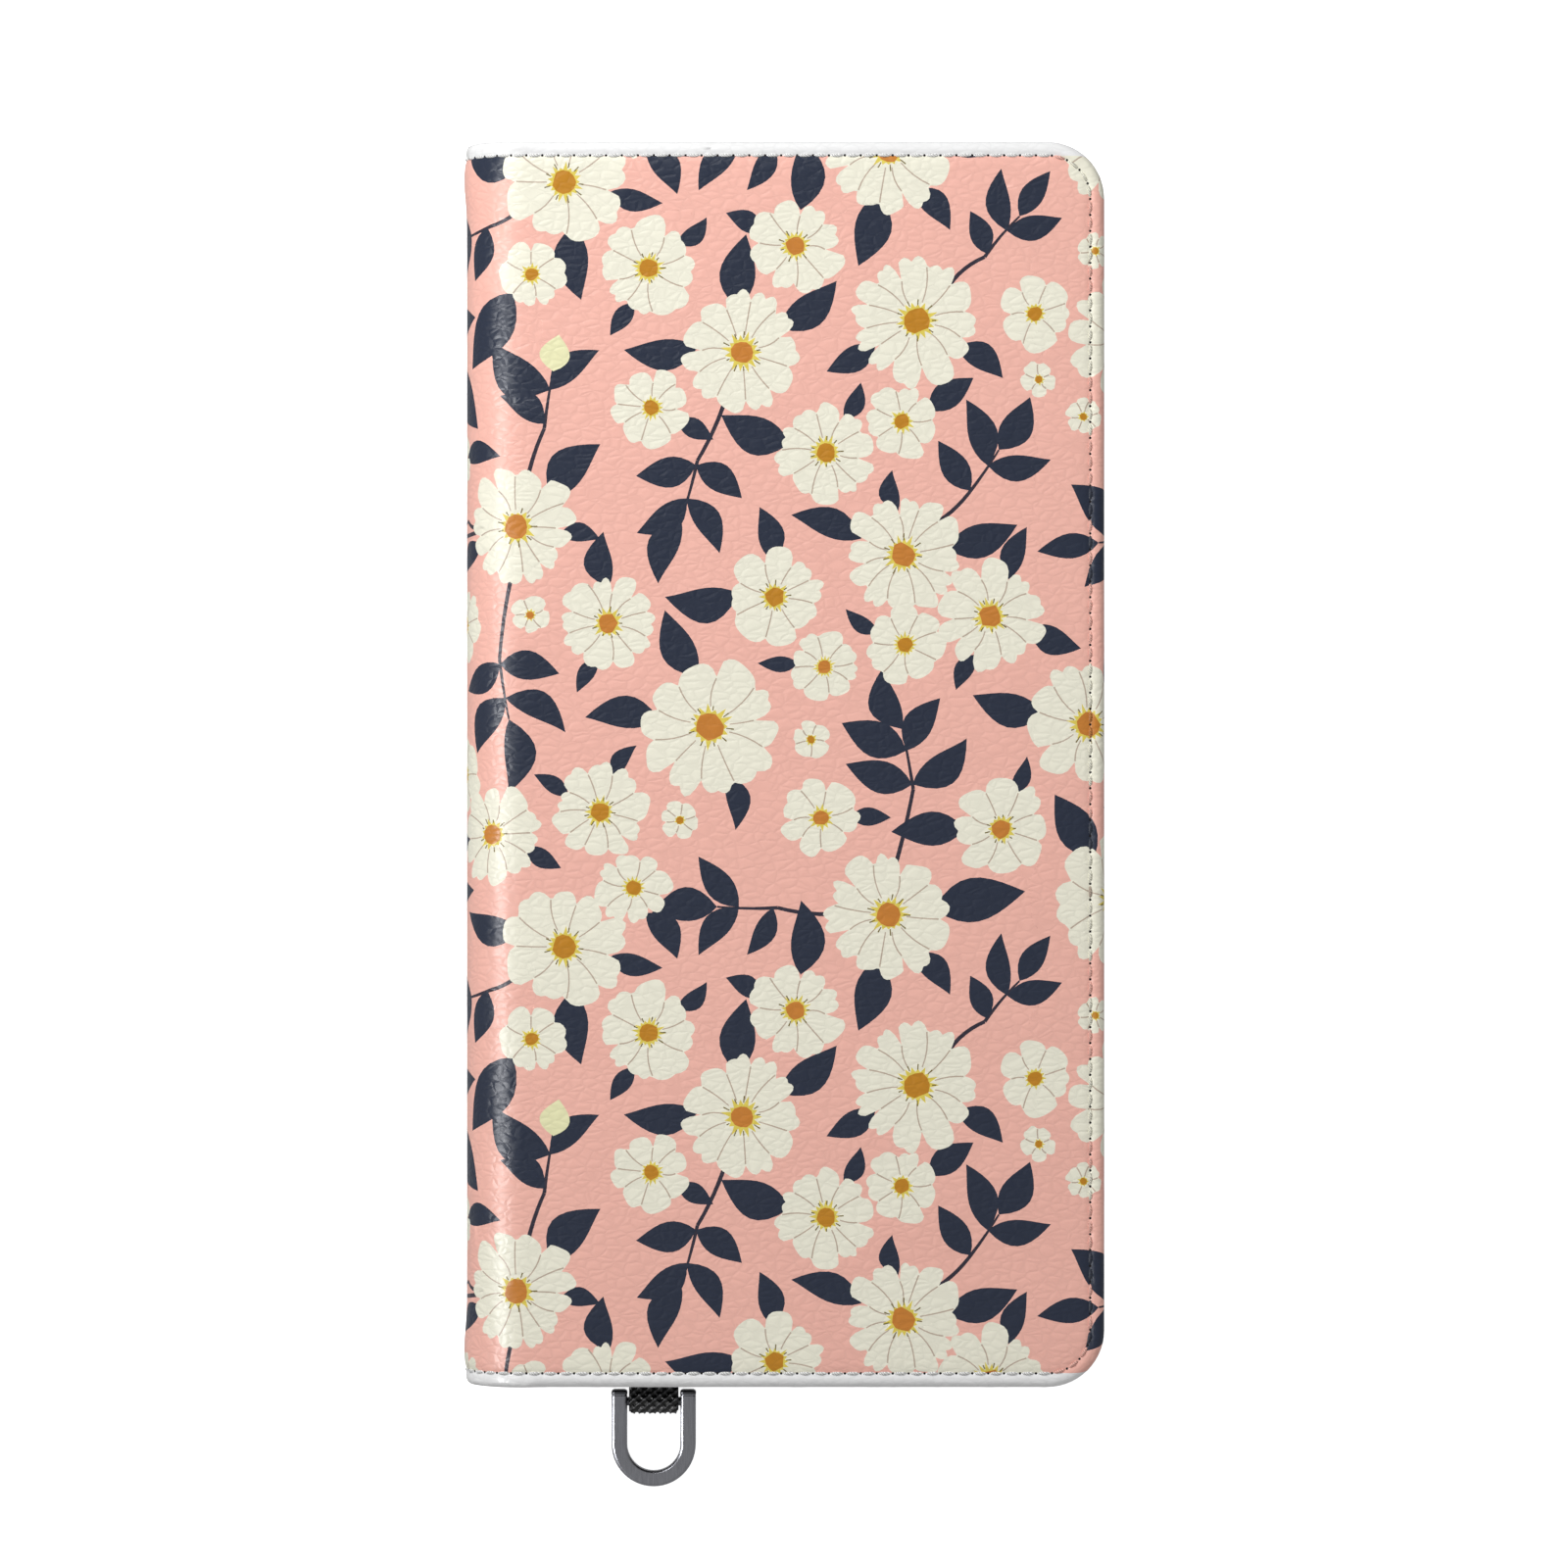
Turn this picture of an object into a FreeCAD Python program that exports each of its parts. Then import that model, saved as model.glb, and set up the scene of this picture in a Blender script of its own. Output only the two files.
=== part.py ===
import FreeCAD, Part
import math
import os
import re

import Sketcher
from FreeCAD import Vector

# Book-style phone case, shut, lying on its back cover. Millimetres.
# +X points to the free edge, -X to the spine, +Y to the phone's top, +Z out of the front cover.
# The origin is the centre of the back cover's outer face.

# name, value, meaning
SIZES = [
    ("case_width", 86.3, "spine to free edge"),
    ("case_height", 168.0, "top edge to bottom edge"),
    ("case_depth", 18.0, "back face to front face"),
    ("corner_radius", 7.7, "the two corners at the free edge"),
    ("spine_radius", 8.0, "leather where a cover turns into the spine"),
    ("skin_thickness", 0.8, "printed leather"),
    ("foam_thickness", 0.8, "pad under the front leather"),
    ("front_board_thickness", 0.9, "stiffener of the front cover"),
    ("back_board_thickness", 1.2, "stiffener of the back cover"),
    ("spine_board_thickness", 0.7, "stiffener of the spine"),
    ("lining_thickness", 0.5, "inner facing"),
    ("leaf_thickness", 0.45, "one pocket leaf"),
    ("adhesive_thickness", 0.2, "sheet under the tray"),
    ("adhesive_margin", 1.0, "tray's rounded foot and camera window to the adhesive"),
    ("turned_edge", 1.2, "width of the leather turned round a board's edge"),
    ("lining_inset", 0.7, "cover edge to lining edge"),
    ("fold_angle", 44.6, "where a cover's part of a fold ends, from flat, in degrees"),
    ("spine_start_angle", 45.4, "where the spine's part of a fold starts, in degrees"),
    ("seam_inset", 1.95, "cover edge to the middle of the seam"),
    ("thread_width", 0.5, "seam thread"),
    ("thread_depth", 0.3, "seam thread, sunk in the leather"),
    ("phone_width", 77.6, "the phone that fits"),
    ("phone_height", 162.8, "the phone that fits"),
    ("phone_depth", 8.2, "the phone that fits"),
    ("phone_corner", 7.5, "the phone that fits"),
    ("tray_wall", 1.5, "side wall"),
    ("tray_floor", 1.2, "floor"),
    ("tray_shift", 1.55, "tray's middle, towards the free edge"),
    ("tray_foot_radius", 4.0, "edge between floor and side wall"),
    ("tray_top_radius", 0.4, "outer edge of the tray's top"),
    ("lip_height", 0.6, "lip over the phone's edge"),
    ("lip_width", 0.8, "lip over the phone's edge"),
    ("window_width", 38.0, "camera window"),
    ("window_height", 62.0, "camera window"),
    ("window_corner", 8.0, "camera window"),
    ("window_margin", 7.0, "tray side to camera window"),
    ("rim_wall", 1.2, "tray's rim inside the camera window"),
    ("rim_bottom", 0.2, "rim's end above the back face"),
    ("slip", 0.15, "clearance round what fits or slides in a hole"),
    ("port_width", 46.0, "slot for the plug and the speakers"),
    ("port_height", 6.4, "slot for the plug and the speakers"),
    ("port_corner", 3.0, "slot for the plug and the speakers"),
    ("button_height", 3.2, "button across the wall's length"),
    ("button_corner", 1.4, "button's outline"),
    ("button_proud", 0.5, "button above the wall"),
    ("button_flange", 1.0, "flange beyond the button's outline"),
    ("flange_thickness", 0.3, "flange that keeps the button in"),
    ("flange_recess", 0.7, "depth of the flange's recess, from the bay"),
    ("volume_length", 26.6, "volume button"),
    ("volume_place", 38.0, "middle of the volume button along Y"),
    ("power_length", 14.0, "power button"),
    ("power_place", 14.0, "middle of the power button along Y"),
    ("magnet_width", 4.0, "closure magnet"),
    ("magnet_length", 18.0, "closure magnet"),
    ("magnet_x", 38.5, "middle of the magnets along X"),
    ("magnet_y", 63.0, "middle of each magnet, up and down from the middle"),
    ("plate_thickness", 0.7, "steel plate in the tray's wall"),
    ("plate_depth", 3.6, "steel plate, down from the tray's top"),
    ("pocket_inset", 2.6, "cover edge to pocket leaf"),
    ("cash_mouth", 8.0, "fold line to the cash pocket's mouth"),
    ("card_mouth", 20.0, "fold line to the first card pocket's mouth"),
    ("card_step", 11.0, "one card pocket's mouth to the next"),
    ("thumb_radius", 8.0, "thumb notch in a card pocket's mouth"),
    ("ring_x", -17.9, "middle of the ring along X"),
    ("ring_pin_y", -87.2, "ring's pin along Y"),
    ("ring_pin_z", 1.65, "ring's pin above the back face"),
    ("ring_inner_width", 7.3, "between the ring's arms"),
    ("ring_bar", 2.1, "width of the ring's bar"),
    ("ring_thickness", 2.0, "thickness of the ring's bar"),
    ("ring_arm_end", 1.65, "pin to the arms' ends"),
    ("ring_reach", 11.6, "pin to the ring's lowest point"),
    ("ring_edge", 0.35, "bevel along the bar"),
    ("arm_end_radius", 0.9, "rounding of the arms' ends"),
    ("pin_radius", 0.6, "ring's pin"),
    ("pin_hole_radius", 0.66, "hole in the loop"),
    ("loop_radius", 1.6, "outside of the loop's barrel"),
    ("loop_width", 7.0, "loop across the pin"),
    ("tail_thickness", 1.2, "loop's tail inside the back cover"),
    ("tail_length", 12.0, "loop's tail inside the back cover"),
]
NAMES = {row[0] for row in SIZES}


def formula(text):
    """Write a formula of size names as an expression that reads the sheet."""
    return re.sub(r"[a-z]\w*", lambda word: ("Sizes." if word[0] in NAMES else "") + word[0], text)


# Heights of the layers, from the back face up
BOARD_FLOOR = "skin_thickness"
BACK_LINING_FLOOR = "(skin_thickness + back_board_thickness)"
ADHESIVE_FLOOR = f"({BACK_LINING_FLOOR} + lining_thickness)"
TRAY_FOOT = f"({ADHESIVE_FLOOR} + adhesive_thickness)"
BAY_FLOOR = f"({TRAY_FOOT} + tray_floor)"
LIP_FLOOR = f"({BAY_FLOOR} + phone_depth)"
TRAY_TOP = f"({LIP_FLOOR} + lip_height)"
FOAM_TOP = "(case_depth - skin_thickness)"
FRONT_BOARD_TOP = f"({FOAM_TOP} - foam_thickness)"
FRONT_LINING_TOP = f"({FRONT_BOARD_TOP} - front_board_thickness)"
LEAF_TOP = f"({FRONT_LINING_TOP} - lining_thickness)"

# Places across the case
FREE_EDGE = "(case_width / 2)"
FOLD_LINE = "(spine_radius - case_width / 2)"
TOP_EDGE = "(case_height / 2)"
TRAY_RIGHT = "(tray_shift + phone_width / 2 + tray_wall)"
TRAY_END = "(phone_height / 2 + tray_wall)"
BAY_RIGHT = "(tray_shift + phone_width / 2)"
WINDOW_RIGHT = f"({TRAY_RIGHT} - window_margin)"
WINDOW_TOP = f"({TRAY_END} - window_margin)"
BACK_STEP = f"({FOLD_LINE} + back_board_thickness)"
FRONT_STEP = f"({FOLD_LINE} + foam_thickness + front_board_thickness)"
HALF_RING = "(ring_inner_width / 2 + ring_bar)"

document = FreeCAD.newDocument("PhoneCase")
sheet = document.addObject("Spreadsheet::Sheet", "Sizes")
for row, (name, value, meaning) in enumerate(SIZES, start=1):
    sheet.set(f"A{row}", name)
    sheet.set(f"B{row}", str(value))
    sheet.setAlias(f"B{row}", name)
    sheet.set(f"C{row}", meaning)
document.recompute()


def size(text):
    """The number that a formula of size names comes to."""
    return float(sheet.evalExpression(formula(text)))


# ---- outlines: corners as formulas, each with the arc (radius, turn) that leads to it, if any ----

def rectangle(left, bottom, right, top, radius=None, round_left=True):
    """Corners of a rectangle, counter-clockwise, its corners square or rounded."""
    if radius is None:
        return [(left, bottom), (right, bottom), (right, top), (left, top)]
    arc = (radius, 1)
    corners = [
        (f"{right} - {radius}", bottom), (right, f"{bottom} + {radius}", arc),
        (right, f"{top} - {radius}"), (f"{right} - {radius}", top, arc),
    ]
    if round_left:
        return corners + [
            (f"{left} + {radius}", top), (left, f"{top} - {radius}", arc),
            (left, f"{bottom} + {radius}"), (f"{left} + {radius}", bottom, arc),
        ]
    return corners + [(left, top), (left, bottom)]


def cover(inset, left=FOLD_LINE):
    """A cover's outline drawn in by inset, square at the fold and rounded at the free edge."""
    end = f"({TOP_EDGE} - {inset})"
    return rectangle(left, f"-{end}", f"({FREE_EDGE} - {inset})", end, f"(corner_radius - {inset})", False)


def cover_band(outer, inner, left):
    """A band along a cover's three open sides, between two insets."""
    outside = cover(outer, left)
    inside = cover(inner, left)
    radius = inside[3][2][0]
    back = [
        inside[4], inside[3][:2], (*inside[2], (radius, -1)),
        inside[1][:2], (*inside[0], (radius, -1)), inside[5],
    ]
    return outside[:5] + back + [outside[5]]


def window(inset):
    """The camera window's outline drawn in by inset."""
    return rectangle(
        f"({WINDOW_RIGHT} - window_width + {inset})", f"({WINDOW_TOP} - window_height + {inset})",
        f"({WINDOW_RIGHT} - {inset})", f"({WINDOW_TOP} - {inset})", f"(window_corner - {inset})",
    )


def tray_outline(inset):
    """The tray's outline drawn in by inset."""
    right = f"(phone_width / 2 + tray_wall - {inset})"
    end = f"({TRAY_END} - {inset})"
    corner = f"(phone_corner + tray_wall - {inset})"
    return rectangle(f"(tray_shift - {right})", f"-{end}", f"(tray_shift + {right})", end, corner)


def on_fold(depth, angle, upper):
    """Point of a fold's section at a depth below the leather's face and an angle from flat."""
    radius = f"(spine_radius - {depth})"
    across = f"{FOLD_LINE} - {radius} * sin({angle})"
    if upper:
        return across, f"case_depth - spine_radius + {radius} * cos({angle})"
    return across, f"spine_radius - {radius} * cos({angle})"


def fold_section(outer, inner, upper):
    """Section of one layer in a cover's part of a fold, between two depths."""
    turn = 1 if upper else -1
    return [
        on_fold(outer, "0", upper),
        (*on_fold(outer, "fold_angle", upper), (f"(spine_radius - {outer})", turn)),
        on_fold(inner, "fold_angle", upper),
        (*on_fold(inner, "0", upper), (f"(spine_radius - {inner})", -turn)),
    ]


def lining_fold_section(upper):
    """Section of a lining's part of a fold, with the step from the leather up on to the board."""
    outer = "skin_thickness"
    inner = "(skin_thickness + lining_thickness)"
    section = fold_section(outer, inner, upper)
    if upper:
        step = [(FRONT_STEP, LEAF_TOP), (FRONT_STEP, FRONT_LINING_TOP)]
    else:
        step = [(BACK_STEP, ADHESIVE_FLOOR), (BACK_STEP, BACK_LINING_FLOOR)]
    return section + step


def spine_section(outer, inner):
    """Section of one layer of the spine, between two depths."""
    start = "spine_start_angle"
    outer_arc = f"(spine_radius - {outer})"
    inner_arc = f"(spine_radius - {inner})"
    return [
        on_fold(outer, start, False), (*on_fold(outer, "90", False), (outer_arc, -1)),
        on_fold(outer, "90", True), (*on_fold(outer, start, True), (outer_arc, -1)),
        on_fold(inner, start, True), (*on_fold(inner, "90", True), (inner_arc, 1)),
        on_fold(inner, "90", False), (*on_fold(inner, start, False), (inner_arc, 1)),
    ]


def circle(across, up, radius):
    """A circle as four quarter turns."""
    arc = (radius, 1)
    return [
        (f"{across} + {radius}", up, arc), (across, f"{up} + {radius}", arc),
        (f"{across} - {radius}", up, arc), (across, f"{up} - {radius}", arc),
    ]


# ---- sketches and features ----

def arc_between(start, end, radius, turn):
    """Arc from start to end, turning left (1) or right (-1)."""
    chord = end - start
    sag = math.sqrt(max(radius ** 2 - chord.Length ** 2 / 4, 0))
    normal = Vector(-chord.y, chord.x, 0).normalize() * turn
    centre = (start + end) / 2 + normal * sag
    middle = centre - normal * radius
    return Part.Arc(start, middle, end)


def draw(sketch, corners):
    """Draw one closed outline, every corner and radius bound to the sheet."""
    points = [Vector(size(corner[0]), size(corner[1]), 0) for corner in corners]
    first = sketch.GeometryCount
    count = len(corners)
    ends = []
    for index, corner in enumerate(corners):
        start = points[index - 1]
        end = points[index]
        if len(corner) == 2:
            sketch.addGeometry(Part.LineSegment(start, end), False)
            ends.append((1, 2))
            continue
        radius, turn = corner[2]
        sketch.addGeometry(arc_between(start, end, size(radius), turn), False)
        ends.append((1, 2) if turn > 0 else (2, 1))
    for index, corner in enumerate(corners):
        edge = first + index
        following = first + (index + 1) % count
        end_point = ends[index][1]
        sketch.addConstraint(
            Sketcher.Constraint("Coincident", edge, end_point, following, ends[(index + 1) % count][0])
        )
        for kind, text, place in (
            ("DistanceX", corner[0], points[index].x),
            ("DistanceY", corner[1], points[index].y),
        ):
            constraint = sketch.addConstraint(Sketcher.Constraint(kind, -1, 1, edge, end_point, place))
            sketch.setExpression(f"Constraints[{constraint}]", formula(text))
        if len(corner) == 3:
            radius = corner[2][0]
            constraint = sketch.addConstraint(Sketcher.Constraint("Radius", edge, size(radius)))
            sketch.setExpression(f"Constraints[{constraint}]", formula(radius))


def new_body(label):
    body = document.addObject("PartDesign::Body", label)
    body.Label = label
    return body


def new_sketch(body, plane, offset, outlines):
    """Sketch on one of the body's own origin planes, moved along the plane's normal."""
    sketch = body.newObject("Sketcher::SketchObject", f"{body.Label}_sketch")
    support = next(item for item in body.Origin.OriginFeatures if item.Role == plane)
    sketch.AttachmentSupport = [(support, "")]
    sketch.MapMode = "FlatFace"
    sketch.setExpression("AttachmentOffset.Base.z", formula(offset))
    for outline in outlines:
        draw(sketch, outline)
    return sketch


def pad(body, plane, offset, outlines, length, symmetric=False):
    """Add a prism that starts at the offset, or that is centred on it."""
    feature = body.newObject("PartDesign::Pad", f"{body.Label}_pad")
    feature.Profile = new_sketch(body, plane, offset, outlines)
    feature.setExpression("Length", formula(length))
    if symmetric:
        feature.SideType = "Symmetric"
    document.recompute()
    return feature


def pocket(body, plane, offset, outlines, depth):
    """Cut a prism from the offset back against the plane's normal."""
    before = body.Shape.Volume
    feature = body.newObject("PartDesign::Pocket", f"{body.Label}_pocket")
    feature.Profile = new_sketch(body, plane, offset, outlines)
    feature.setExpression("Length", formula(depth))
    document.recompute()
    if body.Shape.Volume >= before:
        raise RuntimeError(f"a pocket of {body.Label} cuts nothing")
    return feature


def soften(body, wanted, radius, kind="Fillet"):
    """Round or bevel the edges of the body that the wanted test picks."""
    edges = [f"Edge{n}" for n, edge in enumerate(body.Shape.Edges, start=1) if wanted(edge)]
    base = body.Tip
    feature = body.newObject(f"PartDesign::{kind}", f"{body.Label}_{kind.lower()}")
    feature.Base = (base, edges)
    feature.setExpression("Radius" if kind == "Fillet" else "Size", formula(radius))
    document.recompute()
    return feature


def at_height(height):
    """Test for edges that lie flat at a height."""
    return lambda edge: all(abs(vertex.Z - size(height)) < 1e-6 for vertex in edge.Vertexes)


def box(label, x_size, y_size, z_size, corner):
    """A Part box with its low corner at three formulas."""
    block = document.addObject("Part::Box", label)
    block.Label = label
    for side, text in zip(("Length", "Width", "Height"), (x_size, y_size, z_size)):
        block.setExpression(side, formula(text))
    for axis, text in zip("xyz", corner):
        block.setExpression(f"Placement.Base.{axis}", formula(text))
    return block


def pair(label, pieces):
    """Two separate solids of one kind, as one sub-part."""
    group = document.addObject("Part::Compound", label)
    group.Label = label
    group.Links = pieces
    document.recompute()
    return group


def fitted(label, blank, inserts):
    """The blank with room cut in it for each piece that is set into it."""
    result = blank
    for index, insert in enumerate(inserts, start=1):
        cut = document.addObject("Part::Cut", f"{label}_cut_{index}")
        cut.Base = result
        cut.Tool = insert
        result = cut
    result.Label = label
    document.recompute()
    return result


# ---- seam threads: a band round each cover's open sides that carries on over the fold ----

SEAM_OUTER = "(seam_inset - thread_width / 2)"
SEAM_INNER = "(seam_inset + thread_width / 2)"


def thread_ends(body, section):
    """The two stretches of thread that run round the spine, at the top and at the bottom."""
    for side in ("-1", "1"):
        # the XZ plane's normal points to -Y
        middle = f"{side} * ({TOP_EDGE} - seam_inset)"
        pad(body, "XZ_Plane", middle, [section], "thread_width", symmetric=True)


def cover_thread(label, upper):
    body = new_body(label)
    floor = "(case_depth - thread_depth)" if upper else "0"
    pad(body, "XY_Plane", floor, [cover_band(SEAM_OUTER, SEAM_INNER, FOLD_LINE)], "thread_depth")
    thread_ends(body, fold_section("0", "thread_depth", upper))
    return body


def spine_threads():
    body = new_body("spine_seam_threads")
    thread_ends(body, spine_section("0", "thread_depth"))
    return body


# ---- the strap loop and the ring ----

def strap_loop():
    """Barrel round the pin, and a flat tail that reaches in between the back cover's layers."""
    body = new_body("d_ring_loop")
    start = "ring_x - loop_width / 2"
    barrel = circle("ring_pin_y", "ring_pin_z", "loop_radius")
    tail_end = f"tail_length - {TOP_EDGE}"
    tail = rectangle("ring_pin_y", BOARD_FLOOR, tail_end, f"{BOARD_FLOOR} + tail_thickness")
    pad(body, "YZ_Plane", start, [barrel], "loop_width")
    pad(body, "YZ_Plane", start, [tail], "loop_width")
    hole = circle("ring_pin_y", "ring_pin_z", "pin_hole_radius")
    pocket(body, "YZ_Plane", "ring_x + loop_width / 2", [hole], "loop_width")
    return body


def strap_ring():
    """A flat U whose arms' ends carry the pin."""
    body = new_body("d_ring")
    bend = f"ring_pin_y - ring_reach + {HALF_RING}"
    end = "ring_pin_y + ring_arm_end"
    inner = "(ring_inner_width / 2)"
    outline = [
        (f"ring_x - {HALF_RING}", end), (f"ring_x - {HALF_RING}", bend),
        ("ring_x", f"{bend} - {HALF_RING}", (HALF_RING, 1)),
        (f"ring_x + {HALF_RING}", bend, (HALF_RING, 1)),
        (f"ring_x + {HALF_RING}", end), (f"ring_x + {inner}", end), (f"ring_x + {inner}", bend),
        ("ring_x", f"{bend} - {inner}", (inner, -1)), (f"ring_x - {inner}", bend, (inner, -1)),
        (f"ring_x - {inner}", end),
    ]
    pad(body, "XY_Plane", "ring_pin_z - ring_thickness / 2", [outline], "ring_thickness")
    end_y = size(end)
    soften(
        body,
        lambda edge: all(abs(v.Y - end_y) < 1e-6 for v in edge.Vertexes)
        and abs(edge.Vertexes[0].Z - edge.Vertexes[1].Z) < 1e-6,
        "arm_end_radius",
    )
    at_bottom = at_height("ring_pin_z - ring_thickness / 2")
    at_top = at_height("ring_pin_z + ring_thickness / 2")
    shortest = size("ring_bar") * 2

    def runs_along_bar(edge):
        return edge.Length > shortest and (at_bottom(edge) or at_top(edge))

    soften(body, runs_along_bar, "ring_edge", "Chamfer")
    hole = circle("ring_pin_y", "ring_pin_z", "pin_radius")
    pocket(body, "YZ_Plane", f"ring_x + {HALF_RING}", [hole], f"{HALF_RING} * 2")
    return body


def ring_pin():
    pin = document.addObject("Part::Cylinder", "d_ring_pin")
    pin.Label = "d_ring_pin"
    pin.Placement = FreeCAD.Placement(Vector(0, 0, 0), FreeCAD.Rotation(Vector(0, 1, 0), 90))
    pin.setExpression("Radius", formula("pin_radius"))
    pin.setExpression("Height", formula(f"{HALF_RING} * 2"))
    pin.setExpression("Placement.Base.x", formula(f"ring_x - {HALF_RING}"))
    pin.setExpression("Placement.Base.y", formula("ring_pin_y"))
    pin.setExpression("Placement.Base.z", formula("ring_pin_z"))
    document.recompute()
    return pin


# ---- closure: bars in the front board, plates in the tray's right wall ----

def both_ends(label, x_size, z_size, x_low, z_low):
    """A bar near the top and a bar near the bottom of the free edge."""
    bars = []
    for end, place in (("upper", "magnet_y"), ("lower", "-magnet_y")):
        corner = (x_low, f"{place} - magnet_length / 2", z_low)
        bars.append(box(f"{label}_{end}", x_size, "magnet_length", z_size, corner))
    return pair(label, bars)


def closure_magnets():
    return both_ends(
        "closure_magnets", "magnet_width", "front_board_thickness",
        "magnet_x - magnet_width / 2", FRONT_LINING_TOP,
    )


def strike_plates():
    middle_of_wall = f"{BAY_RIGHT} + tray_wall / 2"
    return both_ends(
        "strike_plates", "plate_thickness", "plate_depth",
        f"{middle_of_wall} - plate_thickness / 2", f"{TRAY_TOP} - plate_depth",
    )


# ---- covers ----

def cover_leather(label, upper, holes, inserts):
    """Leather over a cover's face, round its half of the fold and round the board's edge."""
    body = new_body(f"{label}_blank")
    face_floor = FOAM_TOP if upper else "0"
    edge_floor = FRONT_LINING_TOP if upper else BOARD_FLOOR
    edge_height = f"({FOAM_TOP} - {FRONT_LINING_TOP})" if upper else "back_board_thickness"
    step = FRONT_STEP if upper else BACK_STEP
    pad(body, "XY_Plane", face_floor, [cover("0"), *holes], "skin_thickness")
    pad(body, "XZ_Plane", "0", [fold_section("0", "skin_thickness", upper)], "case_height", symmetric=True)
    pad(body, "XY_Plane", edge_floor, [cover_band("0", "turned_edge", step)], edge_height)
    return fitted(label, body, inserts)


def layer(label, outlines, floor, thickness):
    """A flat sheet of one cover."""
    body = new_body(label)
    pad(body, "XY_Plane", floor, outlines, thickness)
    return body


def cover_lining(label, upper, holes):
    body = new_body(label)
    floor = LEAF_TOP if upper else BACK_LINING_FLOOR
    step = FRONT_STEP if upper else BACK_STEP
    pad(body, "XY_Plane", floor, [cover("lining_inset", step), *holes], "lining_thickness")
    strip_length = "(case_height - 2 * lining_inset)"
    pad(body, "XZ_Plane", "0", [lining_fold_section(upper)], strip_length, symmetric=True)
    return body


def spine_layer(label, outer, inner, end_inset):
    body = new_body(label)
    length = f"case_height - 2 * {end_inset}"
    pad(body, "XZ_Plane", "0", [spine_section(outer, inner)], length, symmetric=True)
    return body


def cash_pocket():
    """Full-height leaf behind the card pockets, open towards the spine."""
    outline = cover("pocket_inset", f"({FOLD_LINE} + cash_mouth)")
    return layer("cash_pocket", [outline], f"{LEAF_TOP} - leaf_thickness", "leaf_thickness")


def card_pocket(number):
    """Leaf open towards the spine, with a thumb notch in the middle of its mouth."""
    mouth = f"({FOLD_LINE} + card_mouth + card_step * {number - 1})"
    outline = cover("pocket_inset", mouth)
    arc = ("thumb_radius", -1)
    notch = [(mouth, "thumb_radius"), (f"{mouth} + thumb_radius", "0", arc), (mouth, "-thumb_radius", arc)]
    floor = f"{LEAF_TOP} - leaf_thickness * {number + 1}"
    return layer(f"card_pocket_{number}", [outline[:5] + notch + outline[5:]], floor, "leaf_thickness")


# ---- tray and buttons ----

BUTTON_MIDDLE = f"({BAY_FLOOR} + phone_depth / 2)"


def button_outline(length, place, margin):
    """Outline of a button on the tray's side, grown by margin."""
    half_length = f"({length} / 2 + {margin})"
    half_height = f"(button_height / 2 + {margin})"
    return rectangle(
        f"({place} - {half_length})", f"({BUTTON_MIDDLE} - {half_height})",
        f"({place} + {half_length})", f"({BUTTON_MIDDLE} + {half_height})", f"(button_corner + {margin})",
    )


def side_button(label, length, place):
    """A press piece held in the wall by its flange, which rests against the recess's shoulder."""
    body = new_body(label)
    shoulder = f"({BAY_RIGHT} + flange_recess)"
    face = f"({TRAY_RIGHT} + button_proud)"
    flange = button_outline(length, place, "button_flange")
    pad(body, "YZ_Plane", f"{shoulder} - flange_thickness", [flange], "flange_thickness")
    pad(body, "YZ_Plane", shoulder, [button_outline(length, place, "0")], f"{face} - {shoulder}")
    face_x = size(face)
    soften(body, lambda edge: all(abs(v.X - face_x) < 1e-6 for v in edge.Vertexes), "button_proud / 2")
    return body


def phone_tray(inserts):
    """Shell that grips the phone, with a lip, a rim in the camera window and slots in its walls."""
    body = new_body("phone_tray_blank")
    pad(body, "XY_Plane", TRAY_FOOT, [tray_outline("0")], f"{TRAY_TOP} - {TRAY_FOOT}")
    soften(body, at_height(TRAY_FOOT), "tray_foot_radius")
    soften(body, at_height(TRAY_TOP), "tray_top_radius")
    lip_inset = "(tray_wall + lip_width)"
    pocket(body, "XY_Plane", TRAY_TOP, [tray_outline(lip_inset)], "lip_height")
    pocket(body, "XY_Plane", LIP_FLOOR, [tray_outline("tray_wall")], "phone_depth")
    rim = [window("slip"), window("(slip + rim_wall)")]
    pad(body, "XY_Plane", "rim_bottom", rim, f"{TRAY_FOOT} - rim_bottom")
    pocket(body, "XY_Plane", BAY_FLOOR, [window("(slip + rim_wall)")], "tray_floor")
    port = rectangle(
        "(tray_shift - port_width / 2)", f"({BUTTON_MIDDLE} - port_height / 2)",
        "(tray_shift + port_width / 2)", f"({BUTTON_MIDDLE} + port_height / 2)", "port_corner",
    )
    # the XZ plane's normal points to -Y, so this cut runs up from the bay through the bottom wall
    pocket(body, "XZ_Plane", TRAY_END, [port], "tray_wall * 2")
    for length, place in (("volume_length", "volume_place"), ("power_length", "power_place")):
        pocket(body, "YZ_Plane", TRAY_RIGHT, [button_outline(length, place, "slip")], "tray_wall")
        recess = button_outline(length, place, "(button_flange + slip)")
        pocket(body, "YZ_Plane", f"{BAY_RIGHT} + flange_recess", [recess], "flange_recess")
    return fitted("phone_tray", body, inserts)


# ---- the whole case ----

back_seam = cover_thread("back_seam_thread", upper=False)
front_seam = cover_thread("front_seam_thread", upper=True)
spine_seam = spine_threads()
loop = strap_loop()
plates = strike_plates()
magnets = closure_magnets()

back_board_blank = layer(
    "back_board_blank", [cover("turned_edge", BACK_STEP), window("0")], BOARD_FLOOR, "back_board_thickness"
)
front_board_blank = layer(
    "front_board_blank", [cover("turned_edge", FRONT_STEP)], FRONT_LINING_TOP, "front_board_thickness"
)
spine_skin_blank = spine_layer("spine_leather_blank", "0", "skin_thickness", "0")

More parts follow.
